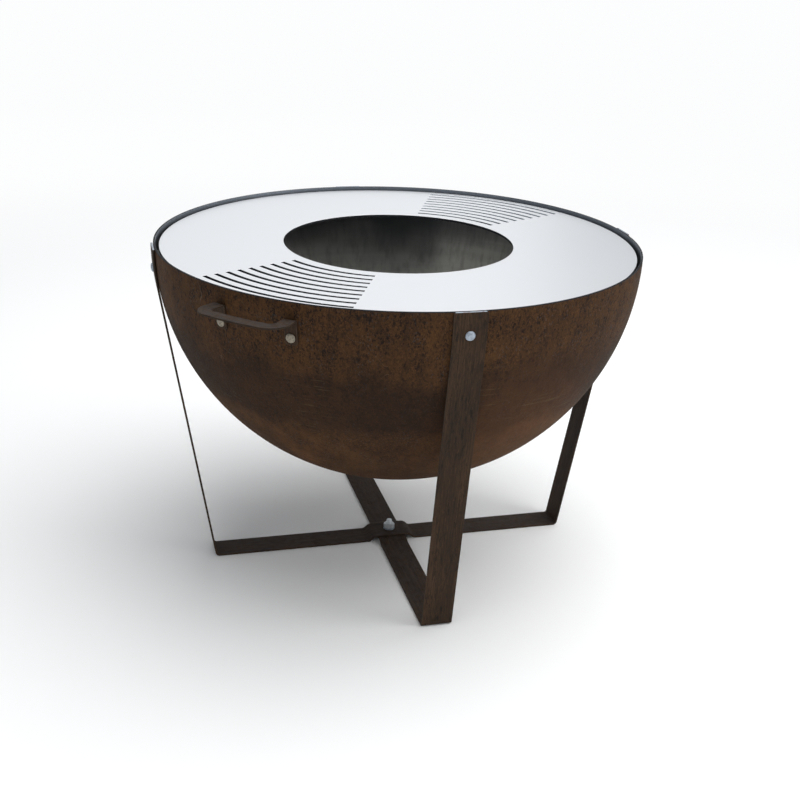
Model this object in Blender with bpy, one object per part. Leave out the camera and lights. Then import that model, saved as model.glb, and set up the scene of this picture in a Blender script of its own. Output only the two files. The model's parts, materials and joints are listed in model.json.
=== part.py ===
"""Fire bowl on two crossed leg straps, with a slotted cooking ring that lies inside its rim.

Metres, +Z up. The origin is on the ground under the bowl's axis. The lower strap runs along Y and the
upper one along X, so the four legs stand at -Y, +X, +Y and -X. Handles and slots lie between the legs.
"""

import math

import bmesh
import bpy
from mathutils import Matrix, Vector

# Driving dimensions.
GAP = 0.0003
SHEET = 0.003

BOWL_RADIUS = 0.400
RIM_HEIGHT = 0.552
BOWL_STEPS = 72
FINE_BAND_ANGLES = (0.0, 3.0, 6.0, 9.0, 12.0)
COARSE_BANDS = 9

RING_RADIUS = 0.391
RING_HOLE_RADIUS = 0.190
RING_THICKNESS = 0.004
RING_DROP = 0.006
SLOT_COUNT = 9
SLOT_PITCH = 0.020
SLOT_WIDTH = 0.0065
FIRST_SLOT_RADIUS = 0.2125
SLOT_SPAN = math.radians(41.0)
SLOT_STEPS = 8

STRAP_WIDTH = 0.050
STRAP_CORNER = 0.004
STRAP_TOP_ANGLE = math.radians(-1.4)
FOOT_RADIUS = 0.316
FOOT_BEND = 0.008
CROSSING_HALF_FLAT = 0.027
CROSSING_RAMP = 0.018
LEG_BOLT_DROP = 0.0345

BRACKET_WIDTH = 0.025
BRACKET_SHELF = 0.028
BRACKET_BEND = 0.004
BRACKET_CORNER = 0.003
BRACKET_FOOT_DROP = 0.052
BRACKET_CLEARANCE = 0.001

HANDLE_STRIP = 0.020
HANDLE_REACH = 0.052
HANDLE_DROP = 0.0245
HANDLE_BOLT_DROP = 0.052
HANDLE_TAB_END_DROP = 0.063
HANDLE_BOLT_ANGLE = math.radians(8.8)
HANDLE_INNER_CORNER = 0.010
HANDLE_OUTER_CORNER = HANDLE_INNER_CORNER + HANDLE_STRIP
HANDLE_CORNER_STEPS = 6
HANDLE_BEND = 0.004
HANDLE_TAB_CORNER = 0.004
HANDLE_GRIP_STEPS = 6

# Cup head bolts: shank radius, head radius, head height, neck side, nut width, nut height, washer radius
# and washer thickness.
SMALL = dict(
    shank=0.0029,
    head=0.0073,
    rise=0.0036,
    neck=0.006,
    nut=0.010,
    tall=0.005,
    washer=0.0062,
    thin=0.0014,
)
LARGE = dict(
    shank=0.0049,
    head=0.0120,
    rise=0.0046,
    neck=0.010,
    nut=0.017,
    tall=0.008,
    washer=0.0100,
    thin=0.0020,
)
HOLE_CLEARANCE = 0.0004
SQUARE_CLEARANCE = 0.0003
STUD_PAST_NUT = 0.0035
CROSS_STUD_PAST_NUT = 0.0075
FASTENER_STEPS = 16
DOME_STEPS = 4
DRILL_REACH = 0.012

# Where things stand round the axis, counted from +X towards +Y.
LEG_AZIMUTHS = dict(front=-0.5 * math.pi, right=0.0, back=0.5 * math.pi, left=math.pi)
HANDLE_AZIMUTHS = dict(front=-0.75 * math.pi, back=0.25 * math.pi)
SLOT_AZIMUTHS = (math.radians(-134.5), math.radians(45.5))

BOWL_CENTRE = Vector((0.0, 0.0, RIM_HEIGHT))
LOWER_STRAP_RISE = LARGE["rise"] + GAP + 0.0001
UPPER_STRAP_RISE = LOWER_STRAP_RISE + SHEET + GAP


# Materials.
def material(name, colour, roughness, metallic):
    made = bpy.data.materials.new(name)
    made.use_nodes = True
    shader = made.node_tree.nodes["Principled BSDF"]
    shader.inputs["Base Color"].default_value = (*colour, 1.0)
    shader.inputs["Roughness"].default_value = roughness
    shader.inputs["Metallic"].default_value = metallic
    return made


# Meshes and objects.
def mesh_from(bm, name):
    """Closes the shape with its faces pointing out, and shades its round parts smooth."""
    bmesh.ops.remove_doubles(bm, verts=bm.verts, dist=1e-6)
    bmesh.ops.recalc_face_normals(bm, faces=bm.faces)
    mesh = bpy.data.meshes.new(name)
    bm.to_mesh(mesh)
    bm.free()
    mesh.shade_smooth()
    mesh.set_sharp_from_angle(angle=math.radians(30.0))
    return mesh


def add_object(name, mesh, finish, parent=None, matrix=None):
    made = bpy.data.objects.new(name, mesh)
    bpy.context.scene.collection.objects.link(made)
    if finish is not None:
        made.data.materials.clear()
        made.data.materials.append(finish)
    if matrix is not None:
        made.matrix_world = matrix
    if parent is not None:
        made.parent = parent
        made.matrix_parent_inverse = parent.matrix_world.inverted()
    return made


def add_empty(name, location):
    made = bpy.data.objects.new(name, None)
    made.location = location
    bpy.context.scene.collection.objects.link(made)
    bpy.context.view_layer.update()
    return made


def add_cutter(name, mesh, matrix=None):
    made = add_object(name, mesh, None, matrix=matrix)
    made.hide_render = True
    made.display_type = "WIRE"
    return made


def cut(target, cutter, operation="DIFFERENCE"):
    modifier = target.modifiers.new(cutter.name, "BOOLEAN")
    modifier.operation = operation
    modifier.solver = "EXACT"
    modifier.object = cutter


def settled_mesh(source):
    """The mesh of an object with its modifiers applied, for sharing among like pieces. The object goes."""
    bpy.context.view_layer.update()
    graph = bpy.context.evaluated_depsgraph_get()
    mesh = bpy.data.meshes.new_from_object(source.evaluated_get(graph))
    mesh.name = source.name
    helpers = [modifier.object for modifier in source.modifiers if modifier.type == "BOOLEAN"]
    for helper in [source, *helpers]:
        bpy.data.objects.remove(helper)
    return mesh


def turned(name, outline, steps):
    """A solid turned about Z from an outline of (radius, height) points, closed where it misses the axis."""
    bm = bmesh.new()
    points = [bm.verts.new((radius, 0.0, height)) for radius, height in outline]
    edges = [bm.edges.new(pair) for pair in zip(points, points[1:])]
    if outline[0][0] > 0.0:
        edges.append(bm.edges.new((points[-1], points[0])))
    bmesh.ops.spin(
        bm,
        geom=points + edges,
        cent=(0.0, 0.0, 0.0),
        axis=(0.0, 0.0, 1.0),
        angle=2.0 * math.pi,
        steps=steps,
        use_merge=True,
    )
    return mesh_from(bm, name)


def prism(name, radius, bottom, top, sides, turn=0.0):
    """An upright prism with its corners on a circle of the radius."""
    bm = bmesh.new()
    place = Matrix.Translation((0.0, 0.0, 0.5 * (bottom + top))) @ Matrix.Rotation(turn, 4, "Z")
    bmesh.ops.create_cone(
        bm,
        cap_ends=True,
        segments=sides,
        radius1=radius,
        radius2=radius,
        depth=top - bottom,
        matrix=place,
    )
    return mesh_from(bm, name)


def square_prism(name, side, bottom, top):
    return prism(name, side / math.sqrt(2.0), bottom, top, 4, math.radians(45.0))


def drill_for(size):
    """A round cutter that leaves a running hole for the bolt's shank."""
    radius = size["shank"] + HOLE_CLEARANCE
    return prism("drill", radius, -DRILL_REACH, DRILL_REACH, FASTENER_STEPS)


def punch_for(size):
    """A square cutter that leaves a hole for the bolt's neck."""
    return square_prism("punch", size["neck"] + 2.0 * SQUARE_CLEARANCE, -DRILL_REACH, DRILL_REACH)


def arc(centre, radius, start, end, steps):
    """Points with the direction from the centre to each of them, along an arc in the (along, up) plane."""
    made = []
    for step in range(steps + 1):
        angle = start + (end - start) * step / steps
        way = Vector((math.cos(angle), math.sin(angle)))
        made.append((centre + radius * way, way))
    return made


def strip(name, rows, thickness, corner):
    """A bent flat strip from rows of (left point, right point, normal) along its face.

    Its back lies a thickness away along each row's normal. The corners at both of its ends are rounded.
    """
    bm = bmesh.new()
    rings = []
    for left, right, normal in rows:
        back = thickness * normal
        rings.append([bm.verts.new(point) for point in (left, right, right + back, left + back)])
    for ring, following in zip(rings, rings[1:]):
        for index in range(4):
            after = (index + 1) % 4
            bm.faces.new((ring[index], ring[after], following[after], following[index]))
    sharp = []
    for ring in (rings[0], rings[-1]):
        bm.faces.new(ring)
        sharp.append(bm.edges.get((ring[1], ring[2])))
        sharp.append(bm.edges.get((ring[3], ring[0])))
    bmesh.ops.bevel(bm, geom=sharp, offset=corner, segments=3, profile=0.5, affect="EDGES")
    return mesh_from(bm, name)


def bar(name, stations, width, corner):
    """A flat bar of the sheet's thickness, carried along stations of (point, normal) in the XZ plane."""
    side = Vector((0.0, 0.5 * width, 0.0))
    rows = []
    for point, normal in stations:
        middle = Vector((point.x, 0.0, point.y))
        rows.append((middle - side, middle + side, Vector((normal.x, 0.0, normal.y))))
    return strip(name, rows, SHEET, corner)


def outward(azimuth, drop, distance):
    """The place of a piece on a line through the bowl's centre that meets the bowl at a drop below its rim.

    Local Z points out along the line, and local X down along the bowl.
    """
    tilt = math.asin(drop / BOWL_RADIUS)
    turn = Matrix.Rotation(azimuth, 4, "Z") @ Matrix.Rotation(0.5 * math.pi + tilt, 4, "Y")
    return Matrix.Translation(BOWL_CENTRE + turn.to_3x3() @ Vector((0.0, 0.0, distance))) @ turn


# Bowl.
def bowl_outline():
    """The wall's outline from the inner pole up to the rim and down the outer side to the outer pole."""
    last = FINE_BAND_ANGLES[-1]
    coarse = [last + (90.0 - last) * (step + 1) / COARSE_BANDS for step in range(COARSE_BANDS)]
    angles = [math.radians(angle) for angle in (*FINE_BAND_ANGLES, *coarse[:-1])]
    inner_radius = BOWL_RADIUS - SHEET
    inner = [(inner_radius * math.cos(angle), -inner_radius * math.sin(angle)) for angle in angles]
    outer = [(BOWL_RADIUS * math.cos(angle), -BOWL_RADIUS * math.sin(angle)) for angle in angles]
    return [(0.0, -inner_radius), *inner[::-1], *outer, (0.0, -BOWL_RADIUS)]


def make_bowl(parent, finish):
    shell = turned("fire_bowl", bowl_outline(), BOWL_STEPS)
    bowl = add_object("fire_bowl", shell, finish, parent, Matrix.Translation(BOWL_CENTRE))
    drill = drill_for(SMALL)
    for name, azimuth in LEG_AZIMUTHS.items():
        cut(bowl, add_cutter(f"bowl_hole_{name}", drill, outward(azimuth, LEG_BOLT_DROP, BOWL_RADIUS)))
    for name, azimuth in handle_bolt_azimuths():
        cut(bowl, add_cutter(f"bowl_hole_{name}", drill, outward(azimuth, HANDLE_BOLT_DROP, BOWL_RADIUS)))
    return bowl


# Cooking ring.
def slot_cutters(height):
    """Curved bars for both groups of slots, each a section in the XZ plane spun about the ring's axis."""
    bm = bmesh.new()
    for azimuth in SLOT_AZIMUTHS:
        for index in range(SLOT_COUNT):
            middle = FIRST_SLOT_RADIUS + index * SLOT_PITCH
            low = middle - 0.5 * SLOT_WIDTH
            high = middle + 0.5 * SLOT_WIDTH
            corners = [(low, -height), (high, -height), (high, height), (low, height)]
            section = bm.faces.new([bm.verts.new((radius, 0.0, level)) for radius, level in corners])
            start = Matrix.Rotation(azimuth - 0.5 * SLOT_SPAN, 3, "Z")
            bmesh.ops.rotate(bm, verts=section.verts, cent=(0.0, 0.0, 0.0), matrix=start)
            bmesh.ops.spin(
                bm,
                geom=[section],
                cent=(0.0, 0.0, 0.0),
                axis=(0.0, 0.0, 1.0),
                angle=SLOT_SPAN,
                steps=SLOT_STEPS,
            )
    return add_cutter("slot_cutters", mesh_from(bm, "slot_cutters"))


def make_ring(parent, finish):
    """The ring's origin is on its own axis, at its underside, so that it lifts along local Z."""
    outline = [
        (RING_HOLE_RADIUS, 0.0),
        (RING_HOLE_RADIUS, RING_THICKNESS),
        (RING_RADIUS, RING_THICKNESS),
        (RING_RADIUS, 0.0),
    ]
    place = Matrix.Translation((0.0, 0.0, ring_underside()))
    blank = turned("cooking_ring", outline, BOWL_STEPS)
    ring = add_object("cooking_ring", blank, finish, parent, place)
    cutters = slot_cutters(2.0 * RING_THICKNESS)
    cutters.matrix_world = place
    cut(ring, cutters)
    return ring


def ring_underside():
    return RIM_HEIGHT - RING_DROP - RING_THICKNESS


# Leg straps.
def strap_side(rise):
    """Stations from the middle of the crossing out to the top of one leg, along the strap's lower face.

    Each normal points to the strap's other face. The leg is a straight line that touches the bowl, and above
    that it follows the bowl up to the rim.
    """
    ramp_radius = (CROSSING_RAMP**2 + rise**2) / (4.0 * rise)
    ramp_angle = 2.0 * math.atan2(rise, CROSSING_RAMP)
    up = 0.5 * math.pi
    crest = Vector((CROSSING_HALF_FLAT, rise - ramp_radius))
    valley = Vector((CROSSING_HALF_FLAT + CROSSING_RAMP, ramp_radius))
    stations = arc(crest, ramp_radius, up, up - ramp_angle, 3)
    for point, way in arc(valley, ramp_radius, -up - ramp_angle, -up, 3)[1:]:
        stations.append((point, -way))

    hug_radius = BOWL_RADIUS + GAP + SHEET
    centre = Vector((0.0, RIM_HEIGHT))
    corner = Vector((FOOT_RADIUS, 0.0))
    spread = math.acos(hug_radius / (centre - corner).length)
    touch_angle = spread - math.atan2(RIM_HEIGHT, FOOT_RADIUS)
    lean = up + touch_angle
    foot_run = FOOT_BEND * math.tan(0.5 * lean)
    foot_centre = Vector((FOOT_RADIUS - foot_run, FOOT_BEND))
    for point, way in arc(foot_centre, FOOT_BEND, -up, -up + lean, 6):
        stations.append((point, -way))
    for point, way in arc(centre, hug_radius, touch_angle, STRAP_TOP_ANGLE, 4):
        stations.append((point, -way))
    stations.append((Vector((hug_radius, RIM_HEIGHT)), Vector((-1.0, 0.0))))
    return stations


def strap_stations(rise):
    """One side of the strap and its mirror image."""
    right = strap_side(rise)
    left = [(Vector((-point.x, point.y)), Vector((-normal.x, normal.y))) for point, normal in right]
    return left[::-1] + right


def make_strap(name, rise, azimuth, legs, middle_tool, parent, finish):
    mesh = bar(name, strap_stations(rise), STRAP_WIDTH, STRAP_CORNER)
    strap = add_object(name, mesh, finish, parent, Matrix.Rotation(azimuth, 4, "Z"))
    neck = punch_for(SMALL)
    for leg in legs:
        place = outward(LEG_AZIMUTHS[leg], LEG_BOLT_DROP, BOWL_RADIUS + GAP + 0.5 * SHEET)
        cut(strap, add_cutter(f"strap_hole_{leg}", neck, place))
    cut(strap, add_cutter(f"{name}_middle_hole", middle_tool, Matrix.Translation((0.0, 0.0, rise))))
    return strap


# Ring brackets.
def bracket_stations():
    """Stations up the bowl's inner wall and inwards as a shelf, along the bracket's outer and upper face."""
    radius = BOWL_RADIUS - SHEET - BRACKET_CLEARANCE
    shelf = ring_underside() - GAP
    inset = radius - BRACKET_BEND
    bend_height = shelf - BRACKET_BEND
    drop = RIM_HEIGHT - bend_height
    bend_angle = -math.asin(drop / inset)
    centre = Vector((0.0, RIM_HEIGHT))
    start = -math.asin(BRACKET_FOOT_DROP / radius)
    stations = [(point, -way) for point, way in arc(centre, radius, start, bend_angle, 4)]
    bend_centre = Vector((inset * math.cos(bend_angle), bend_height))
    for point, way in arc(bend_centre, BRACKET_BEND, bend_angle, 0.5 * math.pi, 4)[1:]:
        stations.append((point, -way))
    stations.append((Vector((radius - BRACKET_SHELF, shelf)), Vector((0.0, -1.0))))
    return stations


def make_brackets(parent, finish):
    mesh = bar("ring_bracket", bracket_stations(), BRACKET_WIDTH, BRACKET_CORNER)
    blank = add_object("ring_bracket_blank", mesh, None)
    hole = drill_for(SMALL)
    cut(blank, add_cutter("bracket_hole", hole, outward(0.0, LEG_BOLT_DROP, BOWL_RADIUS - 2.0 * SHEET)))
    drilled = settled_mesh(blank)
    for name, azimuth in LEG_AZIMUTHS.items():
        add_object(f"ring_bracket_{name}", drilled, finish, parent, Matrix.Rotation(azimuth, 4, "Z"))


# Handles.
def handle_bolt_azimuths():
    """Each handle bolt's name and azimuth. The left one is on the left for someone who faces the handle."""
    found = []
    for name, azimuth in HANDLE_AZIMUTHS.items():
        found.append((f"{name}_left", azimuth - HANDLE_BOLT_ANGLE))
        found.append((f"{name}_right", azimuth + HANDLE_BOLT_ANGLE))
    return found


def handle_end_rows(side):
    """Rows from the grip's corner at one side, in along the arm, round the fold and down the tab.

    They are worked out in the upright plane through the bolt's axis and the bowl's, as (out, along, height)
    with along counted away from the handle's middle.
    """
    top = RIM_HEIGHT - HANDLE_DROP
    reach = BOWL_RADIUS + HANDLE_REACH
    half = 0.5 * HANDLE_STRIP
    outer_middle = Vector((reach - HANDLE_OUTER_CORNER, half - HANDLE_OUTER_CORNER))
    inner_middle = Vector((reach - HANDLE_STRIP - HANDLE_INNER_CORNER, -half - HANDLE_INNER_CORNER))
    outer_arc = arc(outer_middle, HANDLE_OUTER_CORNER, 0.0, 0.5 * math.pi, HANDLE_CORNER_STEPS)
    inner_arc = arc(inner_middle, HANDLE_INNER_CORNER, 0.0, 0.5 * math.pi, HANDLE_CORNER_STEPS)
    turn = Matrix.Rotation(side * HANDLE_BOLT_ANGLE, 3, "Z")

    def row(inner, outer, height, normal):
        inner_point = turn @ Vector((inner[0], side * inner[1], height))
        outer_point = turn @ Vector((outer[0], side * outer[1], height))
        return inner_point, outer_point, turn @ Vector((normal[0], 0.0, normal[1]))

    rows = [row(inner, outer, top, (0.0, -1.0)) for (inner, _), (outer, _) in zip(inner_arc, outer_arc)]

    tilt = math.asin(HANDLE_BOLT_DROP / BOWL_RADIUS)
    face = BOWL_RADIUS + GAP
    bend_drop = HANDLE_DROP + HANDLE_BEND
    bend_out = (face + HANDLE_BEND - bend_drop * math.sin(tilt)) / math.cos(tilt)
    bend_middle = Vector((bend_out, RIM_HEIGHT - bend_drop))
    for point, way in arc(bend_middle, HANDLE_BEND, 0.5 * math.pi, math.pi - tilt, 4):
        rows.append(row((point.x, -half), (point.x, half), point.y, -way))
    fall = HANDLE_TAB_END_DROP - (RIM_HEIGHT - point.y)
    tab_end = point.x - fall * math.tan(tilt)
    rows.append(row((tab_end, -half), (tab_end, half), RIM_HEIGHT - HANDLE_TAB_END_DROP, -way))
    return rows


def handle_rows():
    """Rows of the whole strip from tab to tab, with the handle's middle at azimuth 0."""
    top = RIM_HEIGHT - HANDLE_DROP
    reach = BOWL_RADIUS + HANDLE_REACH
    swing = HANDLE_BOLT_ANGLE - HANDLE_OUTER_CORNER / reach
    grip = []
    for step in range(HANDLE_GRIP_STEPS + 1):
        angle = swing * (2.0 * step / HANDLE_GRIP_STEPS - 1.0)
        way = Vector((math.cos(angle), math.sin(angle), 0.0))
        up = Vector((0.0, 0.0, top))
        grip.append((way * (reach - HANDLE_STRIP) + up, way * reach + up, Vector((0.0, 0.0, -1.0))))
    return handle_end_rows(-1)[::-1] + grip + handle_end_rows(1)


def make_handles(parent, finish):
    blank = add_object("handle_blank", strip("handle", handle_rows(), SHEET, HANDLE_TAB_CORNER), None)
    neck = punch_for(SMALL)
    for side in (-1, 1):
        place = outward(side * HANDLE_BOLT_ANGLE, HANDLE_BOLT_DROP, BOWL_RADIUS + GAP + 0.5 * SHEET)
        cut(blank, add_cutter(f"tab_hole_{side}", neck, place))
    punched = settled_mesh(blank)
    for name, azimuth in HANDLE_AZIMUTHS.items():
        add_object(f"handle_{name}", punched, finish, parent, Matrix.Rotation(azimuth, 4, "Z"))


# Fasteners.
def bolt_mesh(name, size, length, neck_length):
    """A cup head bolt with its head's flat underside at 0, the dome above it and the shank below."""
    lip = 0.15 * size["rise"]
    dome = [(0.0, size["rise"])]
    for step in range(1, DOME_STEPS + 1):
        angle = 0.5 * math.pi * (1.0 - step / DOME_STEPS)
        dome.append((size["head"] * math.cos(angle), lip + (size["rise"] - lip) * math.sin(angle)))
    end = 0.0008
    foot = [
        (size["head"], 0.0),
        (size["shank"], 0.0),
        (size["shank"], end - length),
        (size["shank"] - end, -length),
        (0.0, -length),
    ]
    blank = add_object(name, turned(name, dome + foot, FASTENER_STEPS), None)
    neck = square_prism("neck", size["neck"], -neck_length, lip)
    cut(blank, add_cutter(f"{name}_neck", neck), "UNION")
    return settled_mesh(blank)


def nut_mesh(name, size):
    """A hexagon nut that stands on 0, with its corners chamfered at both ends."""
    corner = size["nut"] / math.sqrt(3.0)
    blank = add_object(name, prism(name, corner, 0.0, size["tall"], 6), None)
    slope = (corner - 0.5 * size["nut"]) * math.tan(math.radians(30.0))
    chamfer = [
        (0.0, 0.0),
        (0.5 * size["nut"], 0.0),
        (corner + 0.0002, slope),
        (corner + 0.0002, size["tall"] - slope),
        (0.5 * size["nut"], size["tall"]),
        (0.0, size["tall"]),
    ]
    cut(blank, add_cutter(f"{name}_chamfer", turned("chamfer", chamfer, FASTENER_STEPS)), "INTERSECT")
    bore = prism("nut_bore", size["shank"] + SQUARE_CLEARANCE, -0.001, size["tall"] + 0.001, FASTENER_STEPS)
    cut(blank, add_cutter(f"{name}_bore", bore))
    return settled_mesh(blank)


def washer_mesh(name, size):
    hole = size["shank"] + SQUARE_CLEARANCE
    outline = [(hole, 0.0), (size["washer"], 0.0), (size["washer"], size["thin"]), (hole, size["thin"])]
    return turned(name, outline, FASTENER_STEPS)


def make_wall_fasteners(group, places, wall_inside, parent, finish):
    """A bolt from outside, with its washer and nut on the inner face of whatever it holds."""
    washer_at = wall_inside - GAP - SMALL["thin"]
    nut_at = washer_at - GAP - SMALL["tall"]
    head_at = BOWL_RADIUS + 2.0 * GAP + SHEET
    length = head_at - nut_at + STUD_PAST_NUT
    bolt = bolt_mesh(f"{group}_bolt", SMALL, length, SHEET)
    washer = washer_mesh(f"{group}_washer", SMALL)
    nut = nut_mesh(f"{group}_nut", SMALL)
    for name, azimuth, drop in places:
        add_object(f"{group}_bolt_{name}", bolt, finish, parent, outward(azimuth, drop, head_at))
        add_object(f"{group}_washer_{name}", washer, finish, parent, outward(azimuth, drop, washer_at))
        add_object(f"{group}_nut_{name}", nut, finish, parent, outward(azimuth, drop, nut_at))


def make_cross_fasteners(parent, finish):
    """The bolt that holds the straps together, with its head underneath and its nut on top."""
    head_at = LOWER_STRAP_RISE - GAP
    washer_at = UPPER_STRAP_RISE + SHEET + GAP
    nut_at = washer_at + LARGE["thin"] + GAP
    length = nut_at + LARGE["tall"] + CROSS_STUD_PAST_NUT - head_at
    upside_down = Matrix.Translation((0.0, 0.0, head_at)) @ Matrix.Rotation(math.pi, 4, "X")
    bolt = bolt_mesh("cross_bolt", LARGE, length, SHEET)
    add_object("cross_bolt", bolt, finish, parent, upside_down)
    washer = washer_mesh("cross_washer", LARGE)
    add_object("cross_washer", washer, finish, parent, Matrix.Translation((0.0, 0.0, washer_at)))
    nut = nut_mesh("cross_nut", LARGE)
    add_object("cross_nut", nut, finish, parent, Matrix.Translation((0.0, 0.0, nut_at)))


def clear_scene():
    for found in list(bpy.data.objects):
        bpy.data.objects.remove(found)


def main():
    clear_scene()
    bowl_steel = material("rusted_bowl_steel", (0.115, 0.075, 0.05), 0.75, 0.2)
    strap_steel = material("rolled_strap_steel", (0.085, 0.06, 0.045), 0.7, 0.2)
    ring_steel = material("pale_ring_steel", (0.80, 0.81, 0.83), 0.4, 0.3)
    bracket_steel = material("bracket_steel", (0.09, 0.085, 0.08), 0.6, 0.6)
    zinc = material("zinc_plate", (0.62, 0.64, 0.66), 0.35, 1.0)

    stand = add_empty("stand", (0.0, 0.0, 0.0))
    ring_lift = add_empty("ring_lift", (0.0, 0.0, ring_underside()))

    make_bowl(stand, bowl_steel)
    along_y = 0.5 * math.pi
    lower_legs = ("front", "back")
    upper_legs = ("right", "left")
    make_strap("leg_strap_lower", LOWER_STRAP_RISE, along_y, lower_legs, punch_for(LARGE), stand, strap_steel)
    make_strap("leg_strap_upper", UPPER_STRAP_RISE, 0.0, upper_legs, drill_for(LARGE), stand, strap_steel)
    make_cross_fasteners(stand, zinc)
    make_brackets(stand, bracket_steel)
    leg_places = [(name, azimuth, LEG_BOLT_DROP) for name, azimuth in LEG_AZIMUTHS.items()]
    bracket_inside = BOWL_RADIUS - 2.0 * SHEET - BRACKET_CLEARANCE
    make_wall_fasteners("leg", leg_places, bracket_inside, stand, zinc)
    make_handles(stand, strap_steel)
    handle_places = [(name, azimuth, HANDLE_BOLT_DROP) for name, azimuth in handle_bolt_azimuths()]
    make_wall_fasteners("handle", handle_places, BOWL_RADIUS - SHEET - HOLE_CLEARANCE, stand, zinc)
    make_ring(ring_lift, ring_steel)


main()
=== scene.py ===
"""Fire bowl on crossed leg straps with a slotted cooking ring: its finished surfaces, floor, light and camera.

Laid out as an add-on and run as a script. Metres, +Z up. The bowl's axis is Z, the lower strap runs along Y and
the upper one along X. Every piece is a surface worked out on a grid, and each is finished by shader nodes.
"""

import json
import math

import bmesh
import bpy
import numpy as np
from bpy.props import FloatProperty, FloatVectorProperty, IntProperty, PointerProperty
from mathutils import Matrix, Vector

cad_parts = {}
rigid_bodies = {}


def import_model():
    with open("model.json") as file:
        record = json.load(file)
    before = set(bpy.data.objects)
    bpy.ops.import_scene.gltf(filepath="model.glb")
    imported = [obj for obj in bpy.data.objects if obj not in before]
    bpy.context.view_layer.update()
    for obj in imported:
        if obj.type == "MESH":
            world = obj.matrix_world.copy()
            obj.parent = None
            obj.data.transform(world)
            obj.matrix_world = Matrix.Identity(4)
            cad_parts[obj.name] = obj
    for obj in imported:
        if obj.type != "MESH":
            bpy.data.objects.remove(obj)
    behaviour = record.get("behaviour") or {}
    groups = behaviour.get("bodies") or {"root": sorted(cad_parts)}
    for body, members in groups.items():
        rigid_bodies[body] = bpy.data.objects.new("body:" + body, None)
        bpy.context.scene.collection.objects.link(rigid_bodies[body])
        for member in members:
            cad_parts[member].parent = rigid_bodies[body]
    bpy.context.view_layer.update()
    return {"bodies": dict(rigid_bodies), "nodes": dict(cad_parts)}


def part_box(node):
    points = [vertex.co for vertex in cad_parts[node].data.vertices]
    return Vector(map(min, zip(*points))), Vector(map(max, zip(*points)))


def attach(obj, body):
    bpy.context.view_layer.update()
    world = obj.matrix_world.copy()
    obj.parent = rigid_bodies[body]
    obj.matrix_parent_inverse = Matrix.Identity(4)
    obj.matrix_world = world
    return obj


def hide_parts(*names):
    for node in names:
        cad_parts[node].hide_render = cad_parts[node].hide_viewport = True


bl_info = {
    "name": "Fire Bowl Finish",
    "version": (1, 0, 0),
    "blender": (4, 5, 0),
    "location": "3D View > Sidebar > Fire Bowl",
    "description": "Builds the finished pieces of a fire bowl with a slotted cooking ring, and its studio",
    "category": "Add Mesh",
}

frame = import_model()

BOWL_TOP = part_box("fire_bowl")[1]
RING_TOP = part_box("cooking_ring")[1]
RING_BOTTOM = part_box("cooking_ring")[0]

# Fits between pieces.
GAP = 0.0003
SHEET = 0.003
HALF_TURN = math.pi
QUARTER_TURN = 0.5 * math.pi

# Where things stand round the axis, counted from +X towards +Y.
LEG_AZIMUTHS = {"front": -QUARTER_TURN, "right": 0.0, "back": QUARTER_TURN, "left": HALF_TURN}
HANDLE_AZIMUTHS = {"front": -0.75 * HALF_TURN, "back": 0.25 * HALF_TURN}
SLOT_AZIMUTHS = (math.radians(-134.5), math.radians(45.5))
LEG_BOLT_DROP = 0.0345
HANDLE_BOLT_DROP = 0.052
HANDLE_BOLT_ANGLE = math.radians(8.8)

# Leg straps.
STRAP_WIDTH = 0.050
STRAP_CORNER = 0.004
STRAP_TOP_ANGLE = math.radians(-1.4)
FOOT_RADIUS = 0.316
FOOT_BEND = 0.008
CROSSING_HALF_FLAT = 0.027
CROSSING_RAMP = 0.018

# Brackets under the ring.
BRACKET_WIDTH = 0.025
BRACKET_SHELF = 0.028
BRACKET_BEND = 0.004
BRACKET_CORNER = 0.003
BRACKET_FOOT_DROP = 0.052
BRACKET_CLEARANCE = 0.001

# Handles.
HANDLE_STRIP = 0.020
HANDLE_REACH = 0.052
HANDLE_DROP = 0.0245
HANDLE_TAB_END_DROP = 0.063
HANDLE_INNER_CORNER = 0.010
HANDLE_OUTER_CORNER = HANDLE_INNER_CORNER + HANDLE_STRIP
HANDLE_BEND = 0.004
HANDLE_TAB_CORNER = 0.004

# Fasteners: the small ones hold the brackets, legs and handles, and the large one holds the straps together.
SMALL = {
    "shank": 0.0029,
    "head": 0.0073,
    "rise": 0.0036,
    "neck": 0.006,
    "nut": 0.010,
    "tall": 0.005,
    "washer": 0.0062,
    "thin": 0.0014,
    "pitch": 0.001,
}
LARGE = {
    "shank": 0.0049,
    "head": 0.0120,
    "rise": 0.0046,
    "neck": 0.010,
    "nut": 0.017,
    "tall": 0.008,
    "washer": 0.0100,
    "thin": 0.0020,
    "pitch": 0.0015,
}
STUD_PAST_NUT = 0.0035
CROSS_STUD_PAST_NUT = 0.0075
HOLE_CLEARANCE = 0.0004
BORE_CLEARANCE = 0.0003
DRILL_REACH = 0.012
FLOOR_CLEARANCE = 0.0001
LOWER_STRAP_RISE = LARGE["rise"] + GAP + FLOOR_CLEARANCE
UPPER_STRAP_RISE = LOWER_STRAP_RISE + SHEET + GAP

NUT_TURN = math.radians(11.0)
RING_EDGE = 0.0004
SHARP_ANGLE = math.radians(35.0)

# Details of the fasteners. The lip is a share of the head's rise, the thread's depth and tip are shares of its
# pitch, the flat is a share of half the nut's width, and the roll is a share of the washer's thickness.
HEAD_LIP = 0.18
HEAD_EDGE = 0.0003
THREAD_DEPTH = 0.55
THREAD_TIP = 0.8
THREAD_PAST_NUT = 0.001
NUT_FLAT = 0.96
NUT_CHAMFER = math.radians(30.0)
WASHER_ROLL = 0.2

# Where a piece's second finish starts: through the bowl's wall, and down from the rim on the straps' ends, whose bare
# steel is also a painted highlight.
BOWL_INSIDE_DEPTH = 0.9 * SHEET
BARE_END_HIGHLIGHT_DROP = 0.0004
RIM_LIP_DROPS = (0.0016, 0.0006)

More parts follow.
